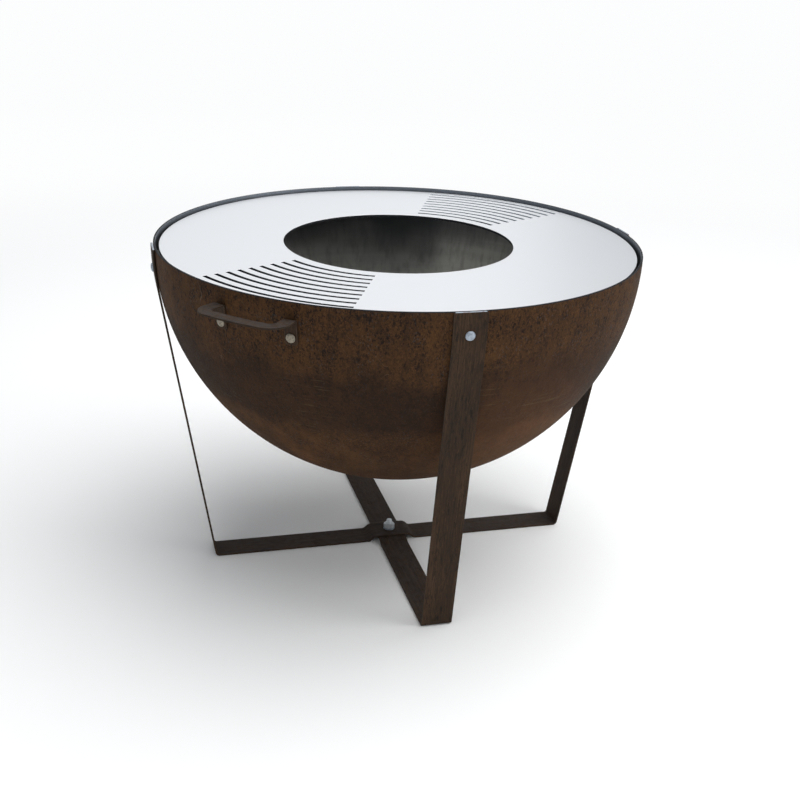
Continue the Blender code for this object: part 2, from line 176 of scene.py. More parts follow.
# Stage: each light's place, side and power in watts.
FLOOR_HALF_SIDE = 60.0
FLOOR_FADE = (0.9, 3.4)
LIGHTS = {
    "overhead": ((0.9, -0.2, 3.2), 4.2, 143.0),
    "left_window": ((-3.4, -2.2, 2.0), 2.2, 12.0),
    "right_window": ((3.0, -2.0, 1.6), 1.6, 25.0),
    "back_wall": ((0.3, 4.2, 1.9), 3.4, 20.0),
}
SKY_COLOUR = (0.92, 0.96, 1.0)
SKY_STRENGTH = 0.38
BACKDROP_COLOUR = (0.96, 0.965, 0.97)
CAMERA_AZIMUTH = math.radians(-14.85)
CAMERA_BACK = 2.003
CAMERA_ABOVE_RIM = 0.5137
CAMERA_YAW = 0.0059
CAMERA_PITCH = 0.3812
CAMERA_ROLL = 0.0358
CAMERA_LENS = 55.65

# A band of painted shade, partly darker rust, between these heights, and a fresh rust patch about a point.
SHADE_BAND_FOOT = (0.345, 0.385)
SHADE_BAND_HEAD = (0.445, 0.500)
FRESH_PATCH = (0.115, -0.315, 0.325)
FRESH_REACH = (0.03, 0.20)

# Heights between which the inside of the bowl darkens from bare grey steel to painted shade, dark blue-grey, under
# the rim and the ring.
INSIDE_SHADE_HEIGHTS = (0.38, 0.55)

# Which way, and how far from the middle, the ring's cut edges are painted paler: painted light on the walls of the
# far group of slots.
PAINTED_LIGHT_SIDE = (0.7071, 0.7071, 0.0)
PAINTED_LIGHT_REACH = (0.19, 0.24)

# How finely shapes are divided.
BOWL_COLUMNS = 288
BOWL_ROWS = 64
RING_COLUMNS = 360
FASTENER_COLUMNS = 48
NUT_COLUMNS = 72
CORNER_STEPS = 3
BEND_STEPS = 12
THREAD_ROWS_PER_PITCH = 8

FLOW = "flow"


# Settings.
def length(label, description, value, **limits):
    """A length setting in metres."""
    return FloatProperty(
        name=label, description=description, default=value, subtype="DISTANCE", unit="LENGTH", **limits
    )


class FireBowlSizes(bpy.types.PropertyGroup):
    """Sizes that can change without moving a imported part."""

    rim_rounding: length("Rim Rounding", "Radius on both edges of the bowl's rim", 0.0006, min=0.0001, max=0.0014)
    bar_rounding: length("Bar Rounding", "Radius along the edges of the flat bar", 0.0006, min=0.0001, max=0.0014)
    hole_radius: length("Ring Hole Radius", "Radius of the round hole in the cooking ring", 0.190, min=0.1, max=0.2)
    first_slot: length("First Slot Radius", "Radius of the middle of the slot nearest the hole", 0.2125)
    slot_pitch: length("Slot Pitch", "Distance from one slot to the next", 0.020)
    slot_width: length("Slot Width", "Width of each slot in the cooking ring", 0.0065, min=0.001, max=0.010)
    slot_count: IntProperty(
        name="Slots",
        description="Number of slots in each of the two groups",
        default=9,
        min=1,
        max=9,
    )
    slot_span: FloatProperty(
        name="Slot Span",
        description="Angle that each slot covers round the ring",
        default=math.radians(41.0),
        subtype="ANGLE",
        unit="ROTATION",
    )


def colour(label, description, value):
    """A colour setting in linear red, green and blue."""
    return FloatVectorProperty(
        name=label,
        description=description,
        default=value,
        min=0.0,
        max=1.0,
        size=3,
        subtype="COLOR",
    )


class FireBowlColours(bpy.types.PropertyGroup):
    """Colours of the finishes."""

    bowl_dark: colour("Bowl Scale", "Dark mill scale left between the rust", (0.012, 0.0088, 0.0080))
    bowl_rust: colour("Bowl Rust", "Even brown rust of the bowl's outside", (0.080, 0.0385, 0.0150))
    bowl_warm: colour("Bowl Fresh Rust", "Brighter orange rust in patches and grains", (0.150, 0.064, 0.026))
    bowl_khaki: colour("Bowl Rubbed Lines", "Dull gold lines rubbed across the rust", (0.125, 0.090, 0.040))
    bowl_blue: colour("Bowl Bare Specks", "Blue-grey specks where scale still shows", (0.058, 0.062, 0.068))
    rim_scale: colour("Rim Scale", "Dark blue-grey scale on the lip of the bowl", (0.020, 0.022, 0.026))
    strap_dark: colour("Strap Scale", "Dark rolling scale on the flat bar", (0.014, 0.0105, 0.0085))
    strap_rust: colour("Strap Rust", "Even brown of the flat bar", (0.074, 0.042, 0.0225))
    strap_warm: colour("Strap Fresh Rust", "Brighter rust on the flat bar", (0.095, 0.050, 0.027))
    inside_steel: colour("Bowl Inside", "Bare grey steel inside the bowl", (0.47, 0.46, 0.415))
    # Painted shade: the inside is darkened to this towards the rim, under the ring; the same colour also tints the
    # runs and tide marks.
    inside_shade_and_marks: colour("Inside Shade And Marks", "Dark blue-grey steel inside the bowl near the rim", (0.054, 0.057, 0.064))
    ring_steel: colour("Ring Steel", "Pale steel of the cooking ring", (0.75, 0.77, 0.795))
    bracket_steel: colour("Bracket Steel", "Dark raw steel of the brackets", (0.055, 0.052, 0.050))
    dull_zinc: colour("Dull Zinc", "Weathered zinc on the bolt heads", (0.36, 0.41, 0.47))
    stained_zinc: colour("Stained Zinc", "Brown-stained zinc on the handle bolts", (0.27, 0.24, 0.19))
    bright_zinc: colour("Bright Zinc", "Fresh zinc on the nuts, washers and studs", (0.66, 0.69, 0.71))
    bare_edge: colour("Bare Edge", "Steel rubbed bare along edges and cut ends", (0.42, 0.41, 0.39))
    floor: colour("Floor", "Pale studio floor", (0.95, 0.95, 0.945))


# Surfaces.
def grid_corners(rows, columns):
    """Row and column numbers of the four corners of each quad on a grid, as two arrays of quads by four."""
    row, column = np.meshgrid(np.arange(rows), np.arange(columns), indexing="ij")
    corner_rows = np.stack([row, row, row + 1, row + 1], axis=-1).reshape(-1, 4)
    corner_columns = np.stack([column, column + 1, column + 1, column], axis=-1).reshape(-1, 4)
    return corner_rows, corner_columns


def skin(grid, ends=None):
    """A closed skin over a grid of points, rows by columns, whose last column joins its first.

    The first and last rows close in fans on the two points of ends. Without them the last row joins the first.
    Returns the points, the quads' corner numbers and the fans' corner numbers.
    """
    rows, columns = grid.shape[:2]
    points = grid.reshape(-1, 3)
    corner_rows, corner_columns = grid_corners(rows if ends is None else rows - 1, columns)
    quads = (corner_rows % rows) * columns + corner_columns % columns
    if ends is None:
        return points, quads, np.zeros((0, 3), int)
    points = np.concatenate([points, np.asarray(ends, float)])
    here = np.arange(columns)
    after = (here + 1) % columns
    last = (rows - 1) * columns
    start_fan = np.stack([np.full(columns, rows * columns), after, here], axis=-1)
    end_fan = np.stack([np.full(columns, rows * columns + 1), last + here, last + after], axis=-1)
    return points, quads, np.concatenate([start_fan, end_fan])


def mesh_of(name, points, quads, triangles, flow=None):
    """A mesh from arrays, with its faces turned so that the volume inside them counts as positive.

    Flow is a pair of arrays with two lengths for each corner of the quads and of the triangles: how far across
    and how far along the piece that corner lies.
    """
    halves = np.concatenate([quads[:, [0, 1, 2]], quads[:, [0, 2, 3]], triangles])
    first, second, third = (points[halves[:, corner]] for corner in range(3))
    if np.einsum("ij,ij->", first, np.cross(second, third)) < 0.0:
        quads = quads[:, ::-1]
        triangles = triangles[:, ::-1]
        if flow is not None:
            flow = [part[:, ::-1] for part in flow]
    corners = np.concatenate([quads.ravel(), triangles.ravel()])
    quad_starts = 4 * np.arange(len(quads))
    triangle_starts = quads.size + 3 * np.arange(len(triangles))
    mesh = bpy.data.meshes.new(name)
    mesh.vertices.add(len(points))
    mesh.vertices.foreach_set("co", points.astype(np.float32).ravel())
    mesh.loops.add(len(corners))
    mesh.loops.foreach_set("vertex_index", corners.astype(np.int32))
    mesh.polygons.add(len(quads) + len(triangles))
    mesh.polygons.foreach_set("loop_start", np.concatenate([quad_starts, triangle_starts]).astype(np.int32))
    mesh.update(calc_edges=True)
    if flow is not None:
        layer = mesh.uv_layers.new(name=FLOW)
        lengths = np.concatenate([part.reshape(-1, 2) for part in flow])
        layer.uv.foreach_set("vector", lengths.astype(np.float32).ravel())
    return mesh


def turned_grid(radius, height):
    """Points at x = radius cos(angle), y = radius sin(angle), z = height, over rows by even angles round Z."""
    radius, height = np.broadcast_arrays(radius, height)
    angle = 2.0 * HALF_TURN * np.arange(radius.shape[1]) / radius.shape[1]
    return np.stack([radius * np.cos(angle), radius * np.sin(angle), height], axis=-1)


def arc(centre, radius, start, end, steps):
    """Points on an arc in the (out, up) plane, centre + radius (cos, sin), and their directions (cos, sin)."""
    angle = np.linspace(start, end, steps + 1)
    way = np.stack([np.cos(angle), np.sin(angle)], axis=-1)
    return np.asarray(centre) + radius * way, way


def along_of(middle):
    """Length travelled from the first point to each point of a path."""
    steps = np.linalg.norm(np.diff(middle, axis=0), axis=1)
    return np.concatenate([[0.0], np.cumsum(steps)])


def resampled(values, old, new):
    """Each column of values, read at new lengths along a path by straight lines between the old lengths."""
    return np.stack([np.interp(new, old, column) for column in values.T], axis=-1)


def rounded_section(half_width, half_depth, radius):
    """A rounded rectangle for each row, as (across, through) points that go once round it.

    Every corner is a quarter circle about a centre one radius in from both sides. The arrays hold one value
    per row, and the result is rows by points by two.
    """
    turn = np.linspace(0.0, QUARTER_TURN, CORNER_STEPS + 1)
    corner = np.repeat(np.arange(4), CORNER_STEPS + 1)
    angle = np.tile(turn, 4) + corner * QUARTER_TURN
    side = np.sign(np.cos(corner * QUARTER_TURN + 0.5 * QUARTER_TURN))
    top = np.sign(np.sin(corner * QUARTER_TURN + 0.5 * QUARTER_TURN))
    radius = radius[:, None]
    across = side * (half_width[:, None] - radius) + radius * np.cos(angle)
    through = top * (half_depth[:, None] - radius) + radius * np.sin(angle)
    return np.stack([across, through], axis=-1)


def quarter_inset(distance, radius):
    """How far a quarter-round edge has drawn in at a distance from its end: r - sqrt(r^2 - (r - d)^2)."""
    inside = np.clip(radius - distance, 0.0, radius)
    return radius - np.sqrt(radius**2 - inside**2)


def strip_mesh(name, left, right, normal, corner, rounding):
    """A bent flat bar between a left and a right edge, a sheet thick along the normal of each row.

    The section is a rounded rectangle. Near both ends it narrows along a quarter circle of the corner's radius,
    and it draws in all round along one of the edge rounding's radius.
    """
    old = along_of(0.5 * (left + right))
    total = old[-1]
    sweep = 1.0 - np.cos(np.linspace(0.0, QUARTER_TURN, 6))
    near = np.unique(np.concatenate([corner * sweep, rounding * sweep]))
    kept = old[(old > corner) & (old < total - corner)]
    along = np.unique(np.concatenate([near, kept, total - near]))
    left, right, normal = (resampled(part, old, along) for part in (left, right, normal))
    normal /= np.linalg.norm(normal, axis=1, keepdims=True)
    across = right - left
    width = np.linalg.norm(across, axis=1)
    across /= width[:, None]
    distance = np.minimum(along, total - along)
    drawn = quarter_inset(distance, rounding)
    half_width = 0.5 * width - quarter_inset(distance, corner) - drawn
    half_depth = np.full(len(along), 0.5 * SHEET) - drawn
    section = rounded_section(half_width, half_depth, np.maximum(rounding - drawn, 0.1 * rounding))
    middle = 0.5 * (left + right) + 0.5 * SHEET * normal
    grid = middle[:, None] + section[..., :1] * across[:, None] + section[..., 1:] * normal[:, None]
    points, quads, fans = skin(grid, (middle[0], middle[-1]))

    closed = np.concatenate([section, section[:, :1]], axis=1)
    around = np.concatenate([[0.0], np.cumsum(np.linalg.norm(np.diff(closed[len(along) // 2], axis=0), axis=1))])
    corner_rows, corner_columns = grid_corners(len(along) - 1, section.shape[1])
    quad_flow = np.stack([around[corner_columns], along[corner_rows]], axis=-1)
    fan_flow = []
    for row, columns in ((0, (1, 0)), (-1, (0, 1))):
        here = np.arange(section.shape[1])
        ring = [closed[row, here + offset] + (0.0, along[row]) for offset in columns]
        centre = np.broadcast_to((0.0, along[row]), ring[0].shape)
        fan_flow.append(np.stack([centre, *ring], axis=1))
    return mesh_of(name, points, quads, fans, (quad_flow, np.concatenate(fan_flow)))


def bar_mesh(name, stations, normals, width, corner, rounding):
    """A strip of even width whose face follows (out, up) stations in the XZ plane."""
    points = np.stack([stations[:, 0], np.zeros(len(stations)), stations[:, 1]], axis=-1)
    normal = np.stack([normals[:, 0], np.zeros(len(normals)), normals[:, 1]], axis=-1)
    side = np.array([0.0, 0.5 * width, 0.0])
    return strip_mesh(name, points - side, points + side, normal, corner, rounding)


def prism_mesh(name, side_radius, columns, turn=0.0):
    """An upright prism through the sheet, its corners at one radius and even angles."""
    angle = 2.0 * HALF_TURN * np.arange(columns) / columns + turn
    ring = np.stack([side_radius * np.cos(angle), side_radius * np.sin(angle), np.zeros(columns)], axis=-1)
    reach = np.array([0.0, 0.0, DRILL_REACH])
    return mesh_of(name, *skin(np.stack([ring - reach, ring + reach]), (-reach, reach)))


def round_tool(size):
    return prism_mesh("round_tool", size["shank"] + HOLE_CLEARANCE, 32)


def square_tool(size):
    side = size["neck"] + 2.0 * BORE_CLEARANCE
    return prism_mesh("square_tool", side / math.sqrt(2.0), 4, 0.5 * QUARTER_TURN)


def cut_through(mesh, tools):
    """The mesh with a hole where each tool, a mesh and its place, goes through it."""
    blank = bpy.data.objects.new("blank", mesh)
    bpy.context.scene.collection.objects.link(blank)
    helpers = [blank]
    for tool, place in tools:
        helper = bpy.data.objects.new("tool", tool)
        helper.matrix_world = place
        bpy.context.scene.collection.objects.link(helper)
        helpers.append(helper)
        modifier = blank.modifiers.new("hole", "BOOLEAN")
        modifier.operation = "DIFFERENCE"
        modifier.solver = "EXACT"
        modifier.object = helper
    bpy.context.view_layer.update()
    made = bpy.data.meshes.new_from_object(blank.evaluated_get(bpy.context.evaluated_depsgraph_get()))
    for helper in helpers:
        bpy.data.objects.remove(helper)
    return made


def handle_bolt_azimuths():
    """Each handle bolt's name and azimuth. The left one is on the left for someone who faces the handle."""
    found = []
    for name, azimuth in HANDLE_AZIMUTHS.items():
        found.append((f"{name}_left", azimuth - HANDLE_BOLT_ANGLE))
        found.append((f"{name}_right", azimuth + HANDLE_BOLT_ANGLE))
    return found


def outward(azimuth, drop, distance):
    """A place on a line through the bowl's centre that meets the bowl a drop below its rim, Z pointing out."""
    tilt = math.asin(drop / BOWL_TOP.x)
    turn = Matrix.Rotation(azimuth, 4, "Z") @ Matrix.Rotation(QUARTER_TURN + tilt, 4, "Y")
    centre = Vector((0.0, 0.0, BOWL_TOP.z))
    return Matrix.Translation(centre + turn.to_3x3() @ Vector((0.0, 0.0, distance))) @ turn


def placed(mesh, place):
    """A copy of the mesh, moved to its place."""
    made = mesh.copy()
    made.transform(place)
    return made


def add_piece(name, mesh, finishes, body):
    """Puts a mesh in the scene for the CAD node of that name, with its round parts smooth and its flats flat."""
    mesh.materials.clear()
    for finish in finishes:
        mesh.materials.append(finish)
    mesh.shade_smooth()
    mesh.set_sharp_from_angle(angle=SHARP_ANGLE)
    made = bpy.data.objects.new(f"{name}_finished", mesh)
    bpy.context.scene.collection.objects.link(made)
    normals = made.modifiers.new("flat_faces", "WEIGHTED_NORMAL")
    normals.weight = 100
    normals.keep_sharp = True
    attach(made, body)
    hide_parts(name)
    return made


# Shapes of the pieces.
def bowl_mesh(rounding):
    """A hemisphere's outer and inner walls, joined over the rim by two quarter-round edges.

    Both walls are (radius cos(angle), -radius sin(angle)) for an angle that falls from the rim to the pole.
    """
    outer = BOWL_TOP.x
    inner = outer - SHEET
    first = rounding / outer
    fall = np.linspace(first, QUARTER_TURN, BOWL_ROWS + 1)[:-1]
    edge = np.linspace(0.0, QUARTER_TURN, CORNER_STEPS + 1)
    outer_edge = np.stack([outer - rounding + rounding * np.cos(edge), rounding * (np.sin(edge) - 1.0)], axis=-1)
    inner_edge = np.stack([inner + rounding - rounding * np.cos(edge), rounding * (np.sin(edge) - 1.0)], axis=-1)
    outline = np.concatenate(
        [
            np.stack([inner * np.cos(fall), -inner * np.sin(fall)], axis=-1)[:0:-1],
            inner_edge,
            outer_edge[::-1],
            np.stack([outer * np.cos(fall), -outer * np.sin(fall)], axis=-1)[1:],
        ]
    )
    radius = np.repeat(outline[:, :1], BOWL_COLUMNS, axis=1)
    grid = turned_grid(radius, BOWL_TOP.z + outline[:, 1:])
    poles = [(0.0, 0.0, BOWL_TOP.z - inner), (0.0, 0.0, BOWL_TOP.z - outer)]
    return mesh_of("fire_bowl", *skin(grid, poles))


def face_middles(mesh):
    middles = np.empty(3 * len(mesh.polygons), np.float32)
    mesh.polygons.foreach_get("center", middles)
    return middles.reshape(-1, 3)


def mark_inside(mesh, radius):
    """Gives the faces nearer the bowl's centre than the radius the piece's second material."""
    away = np.linalg.norm(face_middles(mesh) - (0.0, 0.0, BOWL_TOP.z), axis=1)
    mesh.polygons.foreach_set("material_index", (away < radius).astype(np.int32))


def mark_above(mesh, height):
    """Gives the faces whose middle is above the height the piece's second material."""
    mesh.polygons.foreach_set("material_index", (face_middles(mesh)[:, 2] > height).astype(np.int32))


def mark_upright(mesh):
    """Gives the faces that stand upright the piece's second material."""
    normals = np.empty(3 * len(mesh.polygons))
    mesh.polygons.foreach_get("normal", normals)
    mesh.polygons.foreach_set("material_index", (np.abs(normals[2::3]) < 0.5).astype(np.int32))


def ring_mesh(sizes):
    """A flat ring on a grid of radii by whole degrees, with the cells of the slots left out.

    Every kept cell has a face above and below, and every edge between a kept and a missing cell has a wall.
    """
    middles = sizes.first_slot + sizes.slot_pitch * np.arange(sizes.slot_count)
    sides = (middles[:, None] + np.array([-0.5, 0.5]) * sizes.slot_width).ravel()
    radii = np.concatenate([[sizes.hole_radius], sides, [RING_TOP.x]])
    angle = 2.0 * HALF_TURN * np.arange(RING_COLUMNS) / RING_COLUMNS
    cell_angle = angle + HALF_TURN / RING_COLUMNS
    in_span = np.zeros(RING_COLUMNS, bool)
    for azimuth in SLOT_AZIMUTHS:
        away = (cell_angle - azimuth + HALF_TURN) % (2.0 * HALF_TURN) - HALF_TURN
        in_span |= np.abs(away) < 0.5 * sizes.slot_span
    slot_row = np.arange(len(radii) - 1) % 2 == 1
    kept = ~(slot_row[:, None] & in_span[None, :])

    def level(height):
        return turned_grid(np.repeat(radii[:, None], RING_COLUMNS, axis=1), height).reshape(-1, 3)

    points = np.concatenate([level(RING_TOP.z), level(RING_BOTTOM.z)])
    below = len(radii) * RING_COLUMNS
    corner_rows, corner_columns = grid_corners(len(radii) - 1, RING_COLUMNS)
    cells = corner_rows * RING_COLUMNS + corner_columns % RING_COLUMNS
    top = cells[kept.ravel()]
    padded = np.pad(kept, ((1, 1), (0, 0)))
    row, column = np.nonzero(padded[1:] != padded[:-1])
    start = row * RING_COLUMNS + column
    end = row * RING_COLUMNS + (column + 1) % RING_COLUMNS
    curved = np.stack([start, end, end + below, start + below], axis=-1)
    row, column = np.nonzero(kept != np.roll(kept, 1, axis=1))
    start = row * RING_COLUMNS + column
    end = start + RING_COLUMNS
    straight = np.stack([start, end, end + below, start + below], axis=-1)
    quads = np.concatenate([top, top[:, ::-1] + below, curved, straight])
    mesh = mesh_of("cooking_ring", points, quads, np.zeros((0, 3), int))
    bm = bmesh.new()
    bm.from_mesh(mesh)
    bmesh.ops.recalc_face_normals(bm, faces=bm.faces)
    bm.to_mesh(mesh)
    bm.free()
    return mesh


def strap_side(rise):
    """Stations and normals from the middle of the crossing out to the top of one leg, on the strap's lower face.

    Two arcs lift the crossing, a third turns the foot, a straight leg runs up to where it touches the bowl, and
    a last arc follows the bowl to the rim.
    """
    ramp_radius = (CROSSING_RAMP**2 + rise**2) / (4.0 * rise)
    ramp_angle = 2.0 * math.atan2(rise, CROSSING_RAMP)
    crest = (CROSSING_HALF_FLAT, rise - ramp_radius)
    valley = (CROSSING_HALF_FLAT + CROSSING_RAMP, ramp_radius)
    over, over_way = arc(crest, ramp_radius, QUARTER_TURN, QUARTER_TURN - ramp_angle, BEND_STEPS)
    under, under_way = arc(valley, ramp_radius, -QUARTER_TURN - ramp_angle, -QUARTER_TURN, BEND_STEPS)

    hug_radius = BOWL_TOP.x + GAP + SHEET
    spread = math.acos(hug_radius / math.hypot(FOOT_RADIUS, BOWL_TOP.z))
    touch_angle = spread - math.atan2(BOWL_TOP.z, FOOT_RADIUS)
    lean = QUARTER_TURN + touch_angle
    foot_centre = (FOOT_RADIUS - FOOT_BEND * math.tan(0.5 * lean), FOOT_BEND)
    foot, foot_way = arc(foot_centre, FOOT_BEND, -QUARTER_TURN, -QUARTER_TURN + lean, BEND_STEPS)
    hug, hug_way = arc((0.0, BOWL_TOP.z), hug_radius, touch_angle, STRAP_TOP_ANGLE, 2 * BEND_STEPS)
    end = np.array([[hug_radius, BOWL_TOP.z]])
    stations = np.concatenate([over, under[1:], foot, hug, end])
    normals = np.concatenate([over_way, -under_way[1:], -foot_way, -hug_way, [[-1.0, 0.0]]])
    return stations, normals


def strap_mesh(name, rise, width, rounding):
    """One side of the strap and its mirror image, as one bar along X."""
    stations, normals = strap_side(rise)
    mirror = np.array([-1.0, 1.0])
    stations = np.concatenate([(stations * mirror)[::-1], stations])
    normals = np.concatenate([(normals * mirror)[::-1], normals])
    return bar_mesh(name, stations, normals, width, STRAP_CORNER, rounding)


def bracket_mesh(rounding):
    """An arc up the bowl's inner wall, a small bend and a level shelf inwards, as a bar in the XZ plane."""
    radius = BOWL_TOP.x - SHEET - BRACKET_CLEARANCE
    shelf = RING_BOTTOM.z - GAP
    inset = radius - BRACKET_BEND
    bend_height = shelf - BRACKET_BEND
    bend_angle = -math.asin((BOWL_TOP.z - bend_height) / inset)
    foot_angle = -math.asin(BRACKET_FOOT_DROP / radius)
    wall, wall_way = arc((0.0, BOWL_TOP.z), radius, foot_angle, bend_angle, BEND_STEPS)
    bend_centre = (inset * math.cos(bend_angle), bend_height)
    bend, bend_way = arc(bend_centre, BRACKET_BEND, bend_angle, QUARTER_TURN, BEND_STEPS)
    stations = np.concatenate([wall, bend[1:], [[radius - BRACKET_SHELF, shelf]]])
    normals = np.concatenate([-wall_way, -bend_way[1:], [[0.0, -1.0]]])
    return bar_mesh("ring_bracket", stations, normals, BRACKET_WIDTH, BRACKET_CORNER, rounding)


def handle_end(side):
    """Inner edge, outer edge and normal of the strip at one side: grip corner, arm, fold and tab.

    Points are (out, along, height) in the upright plane through the bolt's axis, then turned to that side.
    """
    top = BOWL_TOP.z - HANDLE_DROP
    reach = BOWL_TOP.x + HANDLE_REACH
    half = 0.5 * HANDLE_STRIP
    outer_middle = (reach - HANDLE_OUTER_CORNER, half - HANDLE_OUTER_CORNER)
    inner_middle = (reach - HANDLE_STRIP - HANDLE_INNER_CORNER, -half - HANDLE_INNER_CORNER)
    outer_arc, _ = arc(outer_middle, HANDLE_OUTER_CORNER, 0.0, QUARTER_TURN, BEND_STEPS)
    inner_arc, _ = arc(inner_middle, HANDLE_INNER_CORNER, 0.0, QUARTER_TURN, BEND_STEPS)

    tilt = math.asin(HANDLE_BOLT_DROP / BOWL_TOP.x)
    bend_drop = HANDLE_DROP + HANDLE_BEND
    bend_out = (BOWL_TOP.x + GAP + HANDLE_BEND - bend_drop * math.sin(tilt)) / math.cos(tilt)
    bend_centre = (bend_out, BOWL_TOP.z - bend_drop)
    fold, fold_way = arc(bend_centre, HANDLE_BEND, QUARTER_TURN, HALF_TURN - tilt, BEND_STEPS)
    end_height = BOWL_TOP.z - HANDLE_TAB_END_DROP
    end_out = fold[-1, 0] - (fold[-1, 1] - end_height) * math.tan(tilt)
    fall = np.concatenate([fold, [[end_out, end_height]]])
    fall_normal = -np.concatenate([fold_way, fold_way[-1:]])

    def edge(grip, offset):
        level = np.column_stack([grip, np.full(len(grip), top)])
        down = np.column_stack([fall[:, 0], np.full(len(fall), offset), fall[:, 1]])
        return np.concatenate([level, down])

    grip_normal = np.broadcast_to((0.0, -1.0), (len(outer_arc), 2))
    normal = np.concatenate([grip_normal, fall_normal])
    normal = np.column_stack([normal[:, 0], np.zeros(len(normal)), normal[:, 1]])
    turn = np.array(Matrix.Rotation(side * HANDLE_BOLT_ANGLE, 3, "Z"))
    mirror = np.array([1.0, side, 1.0])
    return [(part * mirror) @ turn.T for part in (edge(inner_arc, -half), edge(outer_arc, half), normal)]


def handle_mesh(rounding):
    """Tab, arm, an arched grip at even radii, arm and tab, as one bent strip with its middle at azimuth 0."""
    reach = BOWL_TOP.x + HANDLE_REACH
    swing = HANDLE_BOLT_ANGLE - HANDLE_OUTER_CORNER / reach
    angle = np.linspace(-swing, swing, 2 * BEND_STEPS + 1)
    way = np.stack([np.cos(angle), np.sin(angle), np.zeros(len(angle))], axis=-1)
    up = np.array([0.0, 0.0, BOWL_TOP.z - HANDLE_DROP])
    grip = [way * (reach - HANDLE_STRIP) + up, way * reach + up, np.tile([0.0, 0.0, -1.0], (len(angle), 1))]
    edges = zip(handle_end(-1), grip, handle_end(1))
    inner, outer, normal = (np.concatenate([first[::-1], middle, last]) for first, middle, last in edges)
    return strip_mesh("handle", inner, outer, normal, HANDLE_TAB_CORNER, rounding)


def bolt_mesh(name, size, length, thread_length):
    """A cup head bolt on a grid of rows by angles, with its head's underside at 0 and its shank below.

    The head is half an ellipse turned about Z, the neck's radius is that of a square, half side / max(|cos|,
    |sin|), and the thread's radius falls from the shank's by a triangle wave of height / pitch + turns.
    """
    angle = 2.0 * HALF_TURN * np.arange(FASTENER_COLUMNS) / FASTENER_COLUMNS
    lip = HEAD_LIP * size["rise"]
    fall = np.linspace(QUARTER_TURN, 0.0, 15)[1:]
    head_radius = np.concatenate([size["head"] * np.cos(fall), [size["head"], size["head"] - HEAD_EDGE]])
    head_height = np.concatenate([lip + (size["rise"] - lip) * np.sin(fall), [HEAD_EDGE, 0.0]])
    square = 0.5 * size["neck"] / np.maximum(np.abs(np.cos(angle)), np.abs(np.sin(angle)))
    shank = np.full(FASTENER_COLUMNS, size["shank"])

    pitch = size["pitch"]
    tip = THREAD_TIP * pitch
    rows = int(THREAD_ROWS_PER_PITCH * thread_length / pitch)
    height = np.linspace(thread_length - length, tip - length, rows)[:, None]
    wave = np.abs(2.0 * ((height / pitch + angle / (2.0 * HALF_TURN)) % 1.0) - 1.0)
    run_in = np.clip((thread_length - length - height) / pitch, 0.0, 1.0)
    run_out = np.clip((height + length - tip) / pitch, 0.0, 1.0)
    thread = size["shank"] - THREAD_DEPTH * pitch * wave * run_in * (0.4 + 0.6 * run_out)

    radius = np.concatenate(
        [
            np.repeat(head_radius[:, None], FASTENER_COLUMNS, axis=1),
            [square, square, shank],
            thread,
            [thread[-1], shank - 0.9 * tip],
        ]
    )
    levels = np.concatenate([head_height, [0.0, -SHEET, -SHEET], height[:, 0], [tip - length, -length]])
    grid = turned_grid(radius, levels[:, None])
    return mesh_of(name, *skin(grid, [(0.0, 0.0, size["rise"]), (0.0, 0.0, -length)]))


def nut_mesh(name, size):
    """A hexagon nut that stands on 0, closed round its bore.

    The side's radius is half the width / cos(angle from the middle of the side). Both ends are coned at 30
    degrees from a circle, so each corner's chamfer starts as far down as the radius stands out beyond it.
    """
    angle = 2.0 * HALF_TURN * np.arange(NUT_COLUMNS) / NUT_COLUMNS
    sixth = HALF_TURN / 3.0
    half = 0.5 * size["nut"]
    side = half / np.cos((angle + 0.5 * sixth) % sixth - 0.5 * sixth)
    face = np.full(NUT_COLUMNS, NUT_FLAT * half)
    cone = (side - face) * math.tan(NUT_CHAMFER)
    bore = size["shank"] + BORE_CLEARANCE
    mouth = np.full(NUT_COLUMNS, bore + 0.5 * size["pitch"])
    wall = np.full(NUT_COLUMNS, bore)
    dip = np.full(NUT_COLUMNS, 0.5 * size["pitch"])
    low = np.zeros(NUT_COLUMNS)
    high = np.full(NUT_COLUMNS, size["tall"])
    radius = np.stack([mouth, face, side, side, face, mouth, wall, wall])
    height = np.stack([low, low, cone, high - cone, high, high, high - dip, dip])
    return mesh_of(name, *skin(turned_grid(radius, height)))


def washer_mesh(name, size):
    """A flat ring with slightly rolled edges, its outline turned about Z."""
    hole = size["shank"] + BORE_CLEARANCE
    roll = WASHER_ROLL * size["thin"]
    high = size["thin"]
    outline = np.array(
        [
            (hole, roll),
            (hole + roll, 0.0),
            (size["washer"] - roll, 0.0),
            (size["washer"], roll),
            (size["washer"], high - roll),
            (size["washer"] - roll, high),
            (hole + roll, high),
            (hole, high - roll),
        ]
    )
    radius = np.repeat(outline[:, :1], FASTENER_COLUMNS, axis=1)
    return mesh_of(name, *skin(turned_grid(radius, outline[:, 1:])))


# Shader nodes.
def put(tree, kind, sockets=None, **settings):
    """Adds a node with its settings. Each named or numbered input takes a value or another node's output."""
    made = tree.nodes.new(kind)
    for key, value in settings.items():
        setattr(made, key, value)
    for key, value in (sockets or {}).items():
        if isinstance(value, bpy.types.NodeSocket):
            tree.links.new(value, made.inputs[key])
        else:
            made.inputs[key].default_value = value
    return made


def put_group(tree, name, sockets):
    """Places one of the shared node groups, and returns its outputs."""
    return put(tree, "ShaderNodeGroup", sockets, node_tree=bpy.data.node_groups[name]).outputs


def mask_of(tree, name, place, **settings):
    """The mask that a shared node group makes at a place. Its other inputs are given by name."""
    return put_group(tree, name, {"Vector": place, **settings})["Mask"]


def sum_of(tree, operation, first, second):
    """One step of arithmetic on two values, not clamped."""
    return put(tree, "ShaderNodeMath", {0: first, 1: second}, operation=operation).outputs[0]


def added(tree, start, value, amount):
    """The start plus an amount of the value. A negative amount takes away."""
    return sum_of(tree, "ADD", start, sum_of(tree, "MULTIPLY", value, amount))


